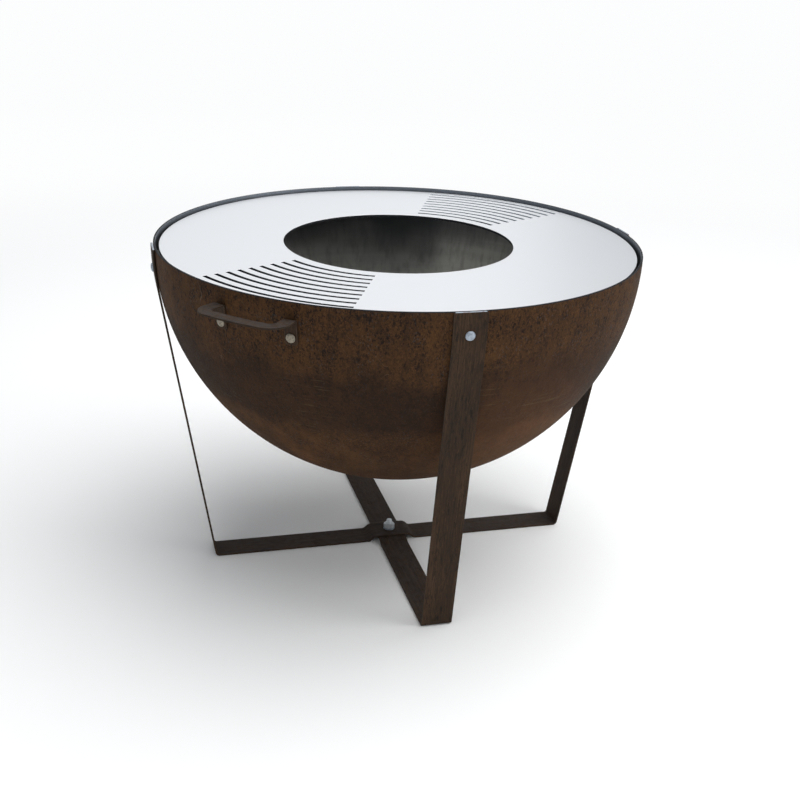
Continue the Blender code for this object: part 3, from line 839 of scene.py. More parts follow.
def ranged(tree, value, low, high, start=0.0, end=1.0):
    """The value carried smoothly from start at low to end at high."""
    sockets = {"Value": value, "From Min": low, "From Max": high, "To Min": start, "To Max": end}
    return put(tree, "ShaderNodeMapRange", sockets, interpolation_type="SMOOTHSTEP").outputs["Result"]


def mixed(tree, factor, first, second, blend="MIX"):
    """Two colours mixed by a factor. The sockets are the colour ones of the Mix node."""
    sockets = {0: factor, 6: first, 7: second}
    return put(tree, "ShaderNodeMix", sockets, data_type="RGBA", blend_type=blend).outputs[2]


def tinted(tree, tone, mask, amount, target):
    """The tone turned towards a target colour, by the amount where the mask is one."""
    return mixed(tree, sum_of(tree, "MULTIPLY", mask, amount), tone, target)


def new_group(name, inputs, outputs):
    """An empty node group. Inputs are name: (socket type, default) and outputs are name: socket type."""
    group = bpy.data.node_groups.new(name, "ShaderNodeTree")
    for label, (kind, default) in inputs.items():
        group.interface.new_socket(label, in_out="INPUT", socket_type=kind).default_value = default
    for label, kind in outputs.items():
        group.interface.new_socket(label, in_out="OUTPUT", socket_type=kind)
    return group, group.nodes.new("NodeGroupInput").outputs, group.nodes.new("NodeGroupOutput").inputs


VALUE = "NodeSocketFloat"
COLOUR = "NodeSocketColor"
VECTOR = "NodeSocketVector"
ORIGIN = (VECTOR, (0.0, 0.0, 0.0))
GREY = (COLOUR, (0.5, 0.5, 0.5, 1.0))


def build_mottle():
    """Soft-edged patches: fractal noise at a scale, opened up between a low and a high level."""
    inputs = {
        "Vector": ORIGIN,
        "Scale": (VALUE, 10.0),
        "Detail": (VALUE, 3.0),
        "Roughness": (VALUE, 0.6),
        "Low": (VALUE, 0.4),
        "High": (VALUE, 0.6),
    }
    group, given, result = new_group("mottle", inputs, {"Mask": VALUE})
    sockets = {label: given[label] for label in ("Vector", "Scale", "Detail", "Roughness")}
    noise = put(group, "ShaderNodeTexNoise", sockets).outputs[0]
    group.links.new(ranged(group, noise, given["Low"], given["High"]), result["Mask"])


def build_streaks():
    """Lines left by rolling: noise that is fine across the bar and long along it, as an even mask."""
    inputs = {
        "Vector": ORIGIN,
        "Across": (VALUE, 600.0),
        "Along": (VALUE, 10.0),
        "Low": (VALUE, 0.3),
        "High": (VALUE, 0.7),
    }
    group, given, result = new_group("streaks", inputs, {"Mask": VALUE})
    stretch = put(group, "ShaderNodeCombineXYZ", {0: given["Across"], 1: given["Along"], 2: given["Across"]})
    scaled = put(group, "ShaderNodeVectorMath", {0: given["Vector"], 1: stretch.outputs[0]}, operation="MULTIPLY")
    noise = put(group, "ShaderNodeTexNoise", {"Vector": scaled.outputs[0], "Scale": 1.0, "Detail": 3.0})
    group.links.new(ranged(group, noise.outputs[0], given["Low"], given["High"]), result["Mask"])


def build_scratches():
    """Sparse hairlines: the narrow band where long stretched noise crosses its middle level, kept in patches."""
    inputs = {
        "Vector": ORIGIN,
        "Turn": (VECTOR, (0.3, 0.2, 0.0)),
        "Scale": (VALUE, 60.0),
        "Width": (VALUE, 0.006),
        "Sparseness": (VALUE, 0.58),
    }
    group, given, result = new_group("scratches", inputs, {"Mask": VALUE})
    turned = put(
        group,
        "ShaderNodeVectorRotate",
        {"Vector": given["Vector"], "Rotation": given["Turn"]},
        rotation_type="EULER_XYZ",
    ).outputs[0]
    long = put(group, "ShaderNodeVectorMath", {0: turned, 1: (1.0, 1.0, 0.016)}, operation="MULTIPLY").outputs[0]
    noise = put(group, "ShaderNodeTexNoise", {"Vector": long, "Scale": given["Scale"], "Detail": 0.0}).outputs[0]
    away = sum_of(group, "ABSOLUTE", sum_of(group, "SUBTRACT", noise, 0.5), 0.0)
    line = ranged(group, away, 0.0, given["Width"], 1.0, 0.0)
    patch_scale = sum_of(group, "MULTIPLY", given["Scale"], 0.35)
    full = sum_of(group, "ADD", given["Sparseness"], 0.06)
    sparse = given["Sparseness"]
    patch = mask_of(group, "mottle", turned, Scale=patch_scale, Detail=1.0, Low=sparse, High=full)
    group.links.new(sum_of(group, "MULTIPLY", line, patch), result["Mask"])


def build_edge_wear():
    """Where edges are rubbed: one minus the dot product of the normal with the normal rounded over a radius."""
    inputs = {"Vector": ORIGIN, "Radius": (VALUE, 0.001), "Gain": (VALUE, 5.0), "Scale": (VALUE, 90.0)}
    group, given, result = new_group("edge_wear", inputs, {"Mask": VALUE})
    rounded = put(group, "ShaderNodeBevel", {"Radius": given["Radius"]}, samples=4).outputs[0]
    normal = put(group, "ShaderNodeNewGeometry").outputs["Normal"]
    level = put(group, "ShaderNodeVectorMath", {0: rounded, 1: normal}, operation="DOT_PRODUCT").outputs["Value"]
    turned = sum_of(group, "MULTIPLY", sum_of(group, "SUBTRACT", 1.0, level), given["Gain"])
    patch = mask_of(group, "mottle", given["Vector"], Scale=given["Scale"], Low=0.32, High=0.62)
    worn = put(group, "ShaderNodeMath", {0: turned, 1: patch}, operation="MULTIPLY", use_clamp=True)
    group.links.new(worn.outputs[0], result["Mask"])


def build_settled_dust():
    """Dust and ash on faces that look up: the normal's height, broken up by patches."""
    inputs = {"Vector": ORIGIN, "Scale": (VALUE, 60.0), "Amount": (VALUE, 0.4)}
    group, given, result = new_group("settled_dust", inputs, {"Mask": VALUE})
    normal = put(group, "ShaderNodeNewGeometry").outputs["Normal"]
    height = put(group, "ShaderNodeSeparateXYZ", {0: normal}).outputs["Z"]
    level = ranged(group, height, 0.3, 0.98)
    patch = mask_of(group, "mottle", given["Vector"], Scale=given["Scale"], Low=0.25, High=0.7)
    amount = sum_of(group, "MULTIPLY", level, given["Amount"])
    group.links.new(sum_of(group, "MULTIPLY", amount, patch), result["Mask"])


def build_rust_skin():
    """Rust over mill scale: broad patches, fresh orange patches, dark dashes, bright grains and bare specks."""
    inputs = {
        "Vector": ORIGIN,
        "Scale Colour": GREY,
        "Rust Colour": GREY,
        "Fresh Colour": GREY,
        "Bare Colour": GREY,
        "Grain": (VALUE, 260.0),
        "Patch": (VALUE, 7.0),
        "Depth": (VALUE, 0.7),
    }
    outputs = {"Color": COLOUR, "Roughness": VALUE, "Height": VALUE}
    group, given, result = new_group("rust_skin", inputs, outputs)

    def patches(multiple_of, multiple, shift, detail, low, high):
        moved = put(group, "ShaderNodeVectorMath", {0: given["Vector"], 1: (shift, shift, shift)}).outputs[0]
        scale = sum_of(group, "MULTIPLY", given[multiple_of], multiple)
        return mask_of(group, "mottle", moved, Scale=scale, Detail=detail, Roughness=0.70, Low=low, High=high)

    broad = patches("Patch", 1.0, 0.0, 5.0, 0.34, 0.66)
    fresh = patches("Patch", 1.9, 3.1, 6.0, 0.50, 0.72)
    cloud = patches("Patch", 6.0, 5.3, 4.0, 0.30, 0.70)
    dashes = patches("Grain", 1.0, 1.7, 5.0, 0.47, 0.66)
    spots = patches("Grain", 0.62, 4.4, 4.0, 0.54, 0.61)
    grains = patches("Grain", 1.4, 7.9, 2.0, 0.52, 0.66)
    sparse = patches("Grain", 0.12, 11.3, 2.0, 0.50, 0.60)
    speck_scale = sum_of(group, "MULTIPLY", given["Grain"], 0.8)
    specks = put(group, "ShaderNodeTexVoronoi", {"Vector": given["Vector"], "Scale": speck_scale}).outputs["Distance"]
    bare = sum_of(group, "MULTIPLY", ranged(group, specks, 0.22, 0.36, 0.30, 0.0), sparse)

    dark = mixed(group, 0.55, given["Scale Colour"], given["Rust Colour"])
    tone = mixed(group, broad, dark, given["Rust Colour"])
    tone = tinted(group, tone, fresh, 0.45, given["Fresh Colour"])
    tone = tinted(group, tone, cloud, 0.30, given["Scale Colour"])
    tone = tinted(group, tone, grains, 0.34, given["Fresh Colour"])
    gathered = added(group, 0.5, cloud, 0.6)
    scale = sum_of(group, "MULTIPLY", sum_of(group, "MAXIMUM", dashes, spots), gathered)
    tone = tinted(group, tone, scale, given["Depth"], given["Scale Colour"])
    tone = mixed(group, bare, tone, given["Bare Colour"])
    group.links.new(tone, result["Color"])

    rough = added(group, 0.74, grains, 0.10)
    rough = added(group, rough, dashes, -0.14)
    rough = added(group, rough, bare, -0.2)
    group.links.new(rough, result["Roughness"])
    height = sum_of(group, "ADD", sum_of(group, "MULTIPLY", grains, 0.5), sum_of(group, "MULTIPLY", cloud, 0.3))
    height = added(group, height, dashes, -0.4)
    group.links.new(height, result["Height"])


def build_spangle():
    """Zinc crystals: every cell of a Voronoi pattern a little lighter or darker, under soft dull patches."""
    inputs = {"Vector": ORIGIN, "Zinc Colour": GREY, "Cells": (VALUE, 900.0), "Dulling": (VALUE, 0.5)}
    group, given, result = new_group("spangle", inputs, {"Color": COLOUR, "Roughness": VALUE, "Height": VALUE})
    cells = put(group, "ShaderNodeTexVoronoi", {"Vector": given["Vector"], "Scale": given["Cells"]}).outputs["Color"]
    tint = ranged(group, put(group, "ShaderNodeSeparateColor", {0: cells}).outputs[0], 0.0, 1.0, 0.93, 1.04)
    bright = put(group, "ShaderNodeVectorMath", {0: given["Zinc Colour"], "Scale": tint}, operation="SCALE")
    clouds = mask_of(group, "mottle", given["Vector"], Scale=320.0, Low=0.44, High=0.70)
    dull = sum_of(group, "MULTIPLY", clouds, given["Dulling"])
    half = put(group, "ShaderNodeVectorMath", {0: given["Zinc Colour"], "Scale": 0.55}, operation="SCALE")
    group.links.new(mixed(group, dull, bright.outputs[0], half.outputs[0]), result["Color"])
    rough = added(group, 0.40, dull, 0.30)
    group.links.new(added(group, rough, tint, 0.08), result["Roughness"])
    group.links.new(sum_of(group, "SUBTRACT", tint, dull), result["Height"])


# Finishes.
def new_finish(name, specular, metallic):
    """A new material's node tree and its Principled BSDF, whose even settings stand on its own sockets."""
    material = bpy.data.materials.new(name)
    material.use_nodes = True
    tree = material.node_tree
    shader = tree.nodes["Principled BSDF"]
    shader.inputs["Specular IOR Level"].default_value = specular
    shader.inputs["Metallic"].default_value = metallic
    return tree, shader


def dress(tree, shader, tone, roughness, height, depth):
    """Joins a colour, a roughness and a bump of a depth in metres to the shader."""
    bump = put(tree, "ShaderNodeBump", {"Height": height, "Distance": depth, "Strength": 1.0})
    tree.links.new(tone, shader.inputs["Base Color"])
    tree.links.new(roughness, shader.inputs["Roughness"])
    tree.links.new(bump.outputs[0], shader.inputs["Normal"])


def opaque(rgb):
    return (*rgb, 1.0)


def object_place(tree, scale=(1.0, 1.0, 1.0)):
    """Object coordinates, squeezed by a scale."""
    place = put(tree, "ShaderNodeTexCoord").outputs["Object"]
    return put(tree, "ShaderNodeMapping", {"Vector": place, "Scale": scale}).outputs[0]


def flow_place(tree, scale=(1.0, 1.0, 1.0)):
    """The piece's own lengths across and along it, squeezed by a scale."""
    flow = put(tree, "ShaderNodeUVMap", uv_map=FLOW).outputs[0]
    return put(tree, "ShaderNodeMapping", {"Vector": flow, "Scale": scale}).outputs[0]


def make_bowl_rust(colours):
    """The bowl's outside: rust drawn out downwards, a band of painted shade that is partly darker rust, a fresh
    patch, hairlines and a dark lip.
    """
    tree, shader = new_finish("bowl_rust", 0.06, 0.0)
    place = object_place(tree)
    height = put(tree, "ShaderNodeSeparateXYZ", {0: place}).outputs["Z"]
    uneven = mask_of(tree, "mottle", place, Scale=9.0, Detail=4.0, Low=0.2, High=0.8)
    level = added(tree, height, uneven, 0.05)
    skin_sockets = {
        "Vector": object_place(tree, (1.0, 1.0, 0.66)),
        "Scale Colour": opaque(colours.bowl_dark),
        "Rust Colour": opaque(colours.bowl_rust),
        "Fresh Colour": opaque(colours.bowl_warm),
        "Bare Colour": opaque(colours.bowl_blue),
        "Grain": 330.0,
        "Patch": 5.5,
        "Depth": ranged(tree, level, 0.40, 0.54, 0.60, 1.0),
    }
    skin_out = put_group(tree, "rust_skin", skin_sockets)
    shade_band = sum_of(tree, "MULTIPLY", ranged(tree, level, *SHADE_BAND_FOOT), ranged(tree, level, *SHADE_BAND_HEAD, 1.0, 0.0))
    away = put(tree, "ShaderNodeVectorMath", {0: place, 1: FRESH_PATCH}, operation="DISTANCE").outputs["Value"]
    fresh = ranged(tree, away, *FRESH_REACH, 1.0, 0.0)
    lines = mask_of(tree, "scratches", place, Turn=(0.5, 0.25, 0.0), Scale=34.0, Width=0.002)
    rubs = mask_of(tree, "mottle", object_place(tree, (0.04, 0.04, 1.0)), Scale=420.0, Low=0.55, High=0.72)
    rubbed = mask_of(tree, "mottle", place, Scale=7.0, Detail=4.0, Low=0.50, High=0.62)
    hanging = object_place(tree, (1.0, 1.0, 0.10))
    drips = mask_of(tree, "mottle", hanging, Scale=120.0, Detail=5.0, Low=0.45, High=0.70)
    wear = mask_of(tree, "edge_wear", place, Radius=0.0012, Gain=1.2)
    smear = sum_of(tree, "MULTIPLY", sum_of(tree, "MULTIPLY", rubs, rubbed), shade_band)
    # Painted shade: the band at mid height, where the wall turns downward, is darkened towards the scale colour; part
    # of it is darker rust.
    tone = tinted(tree, skin_out["Color"], shade_band, 0.55, opaque(colours.bowl_dark))
    tone = tinted(tree, tone, fresh, 0.28, opaque(colours.bowl_warm))
    tone = tinted(tree, tone, drips, 0.22, opaque(colours.bowl_dark))
    tone = tinted(tree, tone, smear, 0.34, opaque(colours.bowl_khaki))
    tone = tinted(tree, tone, lines, 0.12, opaque(colours.bare_edge))
    tone = mixed(tree, wear, tone, opaque(colours.rim_scale))
    lip = ranged(tree, height, *(BOWL_TOP.z - drop for drop in RIM_LIP_DROPS))
    tone = tinted(tree, tone, lip, 0.92, opaque(colours.rim_scale))
    dress(tree, shader, tone, skin_out["Roughness"], skin_out["Height"], 0.00035)


def make_bowl_inside(colours):
    """Raw steel, bare grey below and darkened with painted shade above towards the rim: draw lines, tide marks, dark
    runs and soft clouds.
    """
    tree, shader = new_finish("bowl_inside", 0.4, 0.62)
    place = object_place(tree)
    height = put(tree, "ShaderNodeSeparateXYZ", {0: place}).outputs["Z"]
    cloud = mask_of(tree, "mottle", place, Scale=5.0, Detail=2.0, Low=0.3, High=0.7)
    bands = mask_of(tree, "mottle", object_place(tree, (0.05, 0.05, 1.0)), Scale=60.0, Low=0.35, High=0.7)
    runs = mask_of(tree, "mottle", object_place(tree, (1.0, 1.0, 0.06)), Scale=90.0, Low=0.42, High=0.72)
    grain = mask_of(tree, "mottle", place, Scale=420.0, Low=0.3, High=0.7)
    steel = opaque(colours.inside_steel)
    shade_and_marks = opaque(colours.inside_shade_and_marks)
    level = added(tree, height, cloud, 0.07)
    # Painted shade: the wall is darkened with height towards the rim, where the ring shades it.
    tone = mixed(tree, ranged(tree, level, *INSIDE_SHADE_HEIGHTS), steel, shade_and_marks)
    tone = tinted(tree, tone, cloud, 0.12, shade_and_marks)
    tone = tinted(tree, tone, bands, 0.16, shade_and_marks)
    tone = tinted(tree, tone, runs, 0.30, shade_and_marks)
    above_ring = ranged(tree, height, RING_BOTTOM.z, RING_TOP.z, 0.0, 0.28)
    tone = mixed(tree, above_ring, tone, opaque(colours.dull_zinc))
    rough = added(tree, 0.38, cloud, 0.10)
    rough = added(tree, rough, grain, 0.06)
    dress(tree, shader, tone, rough, grain, 0.00004)


def make_flat_bar(colours):
    """Hot rolled flat bar: rust over scale drawn out along the bar, rolling lines and rubbed edges."""
    tree, shader = new_finish("flat_bar", 0.12, 0.0)
    place = object_place(tree)
    skin_sockets = {
        "Vector": flow_place(tree, (1.0, 0.16, 1.0)),
        "Scale Colour": opaque(colours.strap_dark),
        "Rust Colour": opaque(colours.strap_rust),
        "Fresh Colour": opaque(colours.strap_warm),
        "Bare Colour": opaque(colours.strap_dark),
        "Grain": 420.0,
        "Patch": 9.0,
        "Depth": 0.85,
    }
    skin_out = put_group(tree, "rust_skin", skin_sockets)
    rolled = mask_of(tree, "streaks", flow_place(tree), Across=520.0, Along=9.0)
    wear = mask_of(tree, "edge_wear", place, Radius=0.0010, Gain=1.6)
    dust = mask_of(tree, "settled_dust", place, Scale=120.0, Amount=0.30)
    tone = tinted(tree, skin_out["Color"], rolled, 0.48, opaque(colours.strap_dark))
    tone = mixed(tree, dust, tone, opaque(colours.bowl_blue))
    tone = tinted(tree, tone, wear, 0.5, opaque(colours.bare_edge))
    height = added(tree, skin_out["Height"], rolled, 0.5)
    rough = added(tree, skin_out["Roughness"], wear, -0.2)
    dress(tree, shader, tone, rough, height, 0.00022)


def make_bare_end_and_highlight(colours):
    """The sawn end of a bar: fine saw lines over bare steel, made pale as a painted highlight of the end face lit
    from above.
    """
    tree, shader = new_finish("bare_end_and_highlight", 0.5, 0.8)
    place = object_place(tree)
    lines = mask_of(tree, "streaks", flow_place(tree), Across=2400.0, Along=900.0)
    stain = mask_of(tree, "mottle", place, Scale=140.0, Low=0.52, High=0.72)
    # Painted highlight, partly bare sawn steel: the straps' top ends are made pale so that they read bright.
    bare = opaque(colours.dull_zinc)
    tone = tinted(tree, bare, stain, 0.5, opaque(colours.bowl_warm))
    rough = added(tree, 0.35, lines, 0.15)
    dress(tree, shader, tone, rough, lines, 0.00006)


def make_ring_steel(colours):
    """Pale satin steel: brushing in one direction, faint smudges and a soft bright line along cut edges."""
    tree, shader = new_finish("ring_steel", 0.5, 0.30)
    place = object_place(tree)
    steel = opaque(colours.ring_steel)
    brushed = mask_of(tree, "streaks", place, Across=1100.0, Along=7.0)
    smudge = mask_of(tree, "mottle", place, Scale=7.0, Detail=5.0, Low=0.35, High=0.7)
    spots = mask_of(tree, "mottle", place, Scale=150.0, Detail=1.0, Low=0.70, High=0.78)
    lines = mask_of(tree, "scratches", place, Turn=(1.5, 0.4, 0.7), Scale=45.0, Width=0.003)
    wear = mask_of(tree, "edge_wear", place, Radius=0.0008, Gain=1.0)
    dim = tuple(0.88 * part for part in colours.ring_steel) + (1.0,)
    tone = tinted(tree, steel, brushed, 0.14, dim)
    tone = tinted(tree, tone, smudge, 0.18, dim)
    tone = tinted(tree, tone, spots, 0.25, opaque(colours.dull_zinc))
    tone = tinted(tree, tone, wear, 0.3, opaque(colours.bright_zinc))
    rough = added(tree, 0.40, brushed, 0.08)
    rough = added(tree, rough, smudge, 0.07)
    height = sum_of(tree, "SUBTRACT", brushed, lines)
    dress(tree, shader, tone, rough, height, 0.000012)


def make_cut_edge(colours):
    """Dark scale left by cutting, drawn out in fine lines through the plate, with brighter flecks and with painted
    light, paler, on the far side's cut edges.
    """
    tree, shader = new_finish("cut_edge", 0.3, 0.3)
    place = object_place(tree)
    lines = mask_of(tree, "mottle", object_place(tree, (1.0, 1.0, 0.08)), Scale=900.0, Low=0.35, High=0.7)
    flecks = mask_of(tree, "mottle", place, Scale=260.0, Low=0.58, High=0.72)
    tone = tinted(tree, opaque(colours.rim_scale), lines, 0.4, opaque(colours.strap_dark))
    tone = tinted(tree, tone, flecks, 0.2, opaque(colours.bowl_blue))
    # Painted light: the cut edges on the far side, round the far slots, are turned paler towards the zinc colour.
    side = put(tree, "ShaderNodeVectorMath", {0: place, 1: PAINTED_LIGHT_SIDE}, operation="DOT_PRODUCT").outputs["Value"]
    tone = mixed(tree, ranged(tree, side, *PAINTED_LIGHT_REACH, 0.0, 0.85), tone, opaque(colours.dull_zinc))
    rough = added(tree, 0.5, flecks, 0.15)
    dress(tree, shader, tone, rough, lines, 0.00003)


def make_bracket_steel(colours):
    """Dark raw steel: blotchy scale, rolling lines and rubbed edges."""
    tree, shader = new_finish("bracket_steel", 0.5, 0.5)
    place = object_place(tree)
    raw = opaque(colours.bracket_steel)
    cloud = mask_of(tree, "mottle", place, Scale=85.0, Detail=4.0)
    rolled = mask_of(tree, "streaks", flow_place(tree), Across=700.0, Along=14.0)
    wear = mask_of(tree, "edge_wear", place, Radius=0.0010, Gain=2.4)
    tone = tinted(tree, raw, cloud, 0.5, opaque(colours.strap_rust))
    tone = tinted(tree, tone, wear, 0.6, opaque(colours.bare_edge))
    rough = added(tree, 0.42, cloud, 0.18)
    dress(tree, shader, tone, rough, sum_of(tree, "ADD", rolled, cloud), 0.00008)


def make_zinc(name, base, dulling, colours):
    """Zinc plate, duller or brighter: crystals, dull patches, a little rust in grains and rubbed edges."""
    tree, shader = new_finish(name, 0.5, 0.75)
    place = object_place(tree)
    zinc = put_group(tree, "spangle", {"Vector": place, "Zinc Colour": opaque(base), "Dulling": dulling})
    stain = mask_of(tree, "mottle", place, Scale=480.0, Low=0.62, High=0.72)
    wear = mask_of(tree, "edge_wear", place, Radius=0.0005, Gain=1.5, Scale=300.0)
    rust = sum_of(tree, "MULTIPLY", stain, dulling)
    tone = mixed(tree, rust, zinc["Color"], opaque(colours.bowl_warm))
    tone = tinted(tree, tone, wear, 0.6, opaque(colours.bright_zinc))
    dress(tree, shader, tone, zinc["Roughness"], zinc["Height"], 0.00003)


def make_floor_finish(colours):
    """A pale matt floor, hardly clouded. It glows like the backdrop far from the object, and is clear from below."""
    tree, shader = new_finish("studio_floor", 0.2, 0.0)
    place = object_place(tree)
    away = put(tree, "ShaderNodeVectorMath", {0: place}, operation="LENGTH").outputs["Value"]
    far = ranged(tree, away, *FLOOR_FADE)
    cloud = mask_of(tree, "mottle", place, Scale=0.7, Detail=2.0, Low=0.2, High=0.8)
    grain = mask_of(tree, "mottle", place, Scale=260.0, Low=0.3, High=0.7)
    dim = tuple(0.985 * part for part in colours.floor) + (1.0,)
    tone = mixed(tree, cloud, opaque(colours.floor), dim)
    tone = mixed(tree, far, tone, opaque((0.0, 0.0, 0.0)))
    glow = mixed(tree, far, opaque((0.0, 0.0, 0.0)), opaque(BACKDROP_COLOUR))
    tree.links.new(glow, shader.inputs["Emission Color"])
    shader.inputs["Emission Strength"].default_value = 1.0
    below = put(tree, "ShaderNodeNewGeometry").outputs["Backfacing"]
    tree.links.new(sum_of(tree, "SUBTRACT", 1.0, below), shader.inputs["Alpha"])
    rough = added(tree, 0.85, grain, 0.05)
    dress(tree, shader, tone, rough, grain, 0.00002)


def finish(name):
    return bpy.data.materials[name]


# Operators.
class FIREBOWL_OT_finishes(bpy.types.Operator):
    """Builds the shared node groups and every finish that the pieces use"""

    bl_idname = "fire_bowl.finishes"
    bl_label = "Finishes"
    bl_options = {"REGISTER", "UNDO"}

    def execute(self, context):
        colours = context.scene.fire_bowl_colours
        build_mottle()
        build_streaks()
        build_scratches()
        build_edge_wear()
        build_settled_dust()
        build_rust_skin()
        build_spangle()
        make_bowl_rust(colours)
        make_bowl_inside(colours)
        make_flat_bar(colours)
        make_bare_end_and_highlight(colours)
        make_ring_steel(colours)
        make_cut_edge(colours)
        make_bracket_steel(colours)
        make_zinc("dull_zinc", colours.dull_zinc, 0.75, colours)
        make_zinc("stained_zinc", colours.stained_zinc, 0.85, colours)
        make_zinc("bright_zinc", colours.bright_zinc, 0.30, colours)
        make_floor_finish(colours)
        return {"FINISHED"}


class FIREBOWL_OT_bowl(bpy.types.Operator):
    """Builds the bowl, rusty outside and bare inside, with its bolt holes"""

    bl_idname = "fire_bowl.bowl"
    bl_label = "Bowl"
    bl_options = {"REGISTER", "UNDO"}

    def execute(self, context):
        radius = BOWL_TOP.x
        tool = round_tool(SMALL)
        tools = [(tool, outward(azimuth, LEG_BOLT_DROP, radius)) for azimuth in LEG_AZIMUTHS.values()]
        tools += [(tool, outward(azimuth, HANDLE_BOLT_DROP, radius)) for _, azimuth in handle_bolt_azimuths()]
        mesh = cut_through(bowl_mesh(context.scene.fire_bowl_sizes.rim_rounding), tools)
        add_piece("fire_bowl", mesh, (finish("bowl_rust"), finish("bowl_inside")), "stand")
        mark_inside(mesh, radius - BOWL_INSIDE_DEPTH)
        return {"FINISHED"}


class FIREBOWL_OT_ring(bpy.types.Operator):
    """Builds the slotted cooking ring that lifts off"""

    bl_idname = "fire_bowl.ring"
    bl_label = "Cooking Ring"
    bl_options = {"REGISTER", "UNDO"}

    def execute(self, context):
        mesh = ring_mesh(context.scene.fire_bowl_sizes)
        ring = add_piece("cooking_ring", mesh, (finish("ring_steel"), finish("cut_edge")), "ring")
        mark_upright(mesh)
        rounding = ring.modifiers.new("cut_edges", "BEVEL")
        rounding.width = RING_EDGE
        rounding.segments = 2
        rounding.limit_method = "ANGLE"
        rounding.angle_limit = SHARP_ANGLE
        ring.modifiers.move(1, 0)
        return {"FINISHED"}


class FIREBOWL_OT_straps(bpy.types.Operator):
    """Builds the two crossed leg straps, punched for the square necks of their bolts"""

    bl_idname = "fire_bowl.straps"
    bl_label = "Leg Straps"
    bl_options = {"REGISTER", "UNDO"}

    def execute(self, context):
        sizes = context.scene.fire_bowl_sizes
        neck = square_tool(SMALL)
        across = Matrix.Rotation(QUARTER_TURN, 4, "Z")
        straps = (
            ("leg_strap_lower", LOWER_STRAP_RISE, across, square_tool(LARGE)),
            ("leg_strap_upper", UPPER_STRAP_RISE, Matrix(), round_tool(LARGE)),
        )
        distance = BOWL_TOP.x + GAP + 0.5 * SHEET
        for name, rise, turn, middle_tool in straps:
            tools = [(neck, outward(azimuth, LEG_BOLT_DROP, distance)) for azimuth in (0.0, HALF_TURN)]
            tools.append((middle_tool, Matrix.Translation((0.0, 0.0, rise))))
            mesh = cut_through(strap_mesh(name, rise, STRAP_WIDTH, sizes.bar_rounding), tools)
            strap = placed(mesh, turn)
            add_piece(name, strap, (finish("flat_bar"), finish("bare_end_and_highlight")), "stand")
            # The straps' top ends get the bright end finish: bare sawn steel and a painted highlight.
            mark_above(strap, BOWL_TOP.z - BARE_END_HIGHLIGHT_DROP)
        return {"FINISHED"}


class FIREBOWL_OT_brackets(bpy.types.Operator):
    """Builds the four brackets inside the rim that the cooking ring rests on"""

    bl_idname = "fire_bowl.brackets"
    bl_label = "Ring Brackets"
    bl_options = {"REGISTER", "UNDO"}

    def execute(self, context):
        rounding = context.scene.fire_bowl_sizes.bar_rounding
        hole = (round_tool(SMALL), outward(0.0, LEG_BOLT_DROP, BOWL_TOP.x - 2.0 * SHEET))
        mesh = cut_through(bracket_mesh(rounding), [hole])
        for name, azimuth in LEG_AZIMUTHS.items():
            bracket = placed(mesh, Matrix.Rotation(azimuth, 4, "Z"))
            add_piece(f"ring_bracket_{name}", bracket, (finish("bracket_steel"),), "stand")
        return {"FINISHED"}


class FIREBOWL_OT_handles(bpy.types.Operator):
    """Builds the two bent strip handles"""

    bl_idname = "fire_bowl.handles"
    bl_label = "Handles"
    bl_options = {"REGISTER", "UNDO"}

    def execute(self, context):
        distance = BOWL_TOP.x + GAP + 0.5 * SHEET
        neck = square_tool(SMALL)
        angles = (-HANDLE_BOLT_ANGLE, HANDLE_BOLT_ANGLE)
        tools = [(neck, outward(angle, HANDLE_BOLT_DROP, distance)) for angle in angles]
        mesh = cut_through(handle_mesh(context.scene.fire_bowl_sizes.bar_rounding), tools)
        for name, azimuth in HANDLE_AZIMUTHS.items():
            handle = placed(mesh, Matrix.Rotation(azimuth, 4, "Z"))
            add_piece(f"handle_{name}", handle, (finish("flat_bar"),), "stand")
        return {"FINISHED"}


class FIREBOWL_OT_wall_fasteners(bpy.types.Operator):
    """Builds the bolts, washers and nuts through the bowl's wall at the legs and the handles"""

    bl_idname = "fire_bowl.wall_fasteners"
    bl_label = "Wall Fasteners"
    bl_options = {"REGISTER", "UNDO"}

    def execute(self, context):
        legs = [(name, azimuth, LEG_BOLT_DROP) for name, azimuth in LEG_AZIMUTHS.items()]
        handles = [(name, azimuth, HANDLE_BOLT_DROP) for name, azimuth in handle_bolt_azimuths()]
        groups = (
            ("leg", legs, BOWL_TOP.x - 2.0 * SHEET - BRACKET_CLEARANCE, "dull_zinc"),
            ("handle", handles, BOWL_TOP.x - SHEET - HOLE_CLEARANCE, "stained_zinc"),
        )
        washer = washer_mesh("washer", SMALL)
        nut = nut_mesh("nut", SMALL)
        for group, places, wall_inside, head_finish in groups:
            washer_at = wall_inside - GAP - SMALL["thin"]
            nut_at = washer_at - GAP - SMALL["tall"]
            head_at = BOWL_TOP.x + 2.0 * GAP + SHEET
            length = head_at - nut_at + STUD_PAST_NUT
            bolt = bolt_mesh("bolt", SMALL, length, SMALL["tall"] + STUD_PAST_NUT + THREAD_PAST_NUT)
            for name, azimuth, drop in places:
                for kind, mesh, distance, zinc in (
                    ("bolt", bolt, head_at, head_finish),
                    ("washer", washer, washer_at, "bright_zinc"),
                    ("nut", nut, nut_at, "bright_zinc"),
                ):
                    made = placed(mesh, outward(azimuth, drop, distance))
                    add_piece(f"{group}_{kind}_{name}", made, (finish(zinc),), "stand")
        return {"FINISHED"}


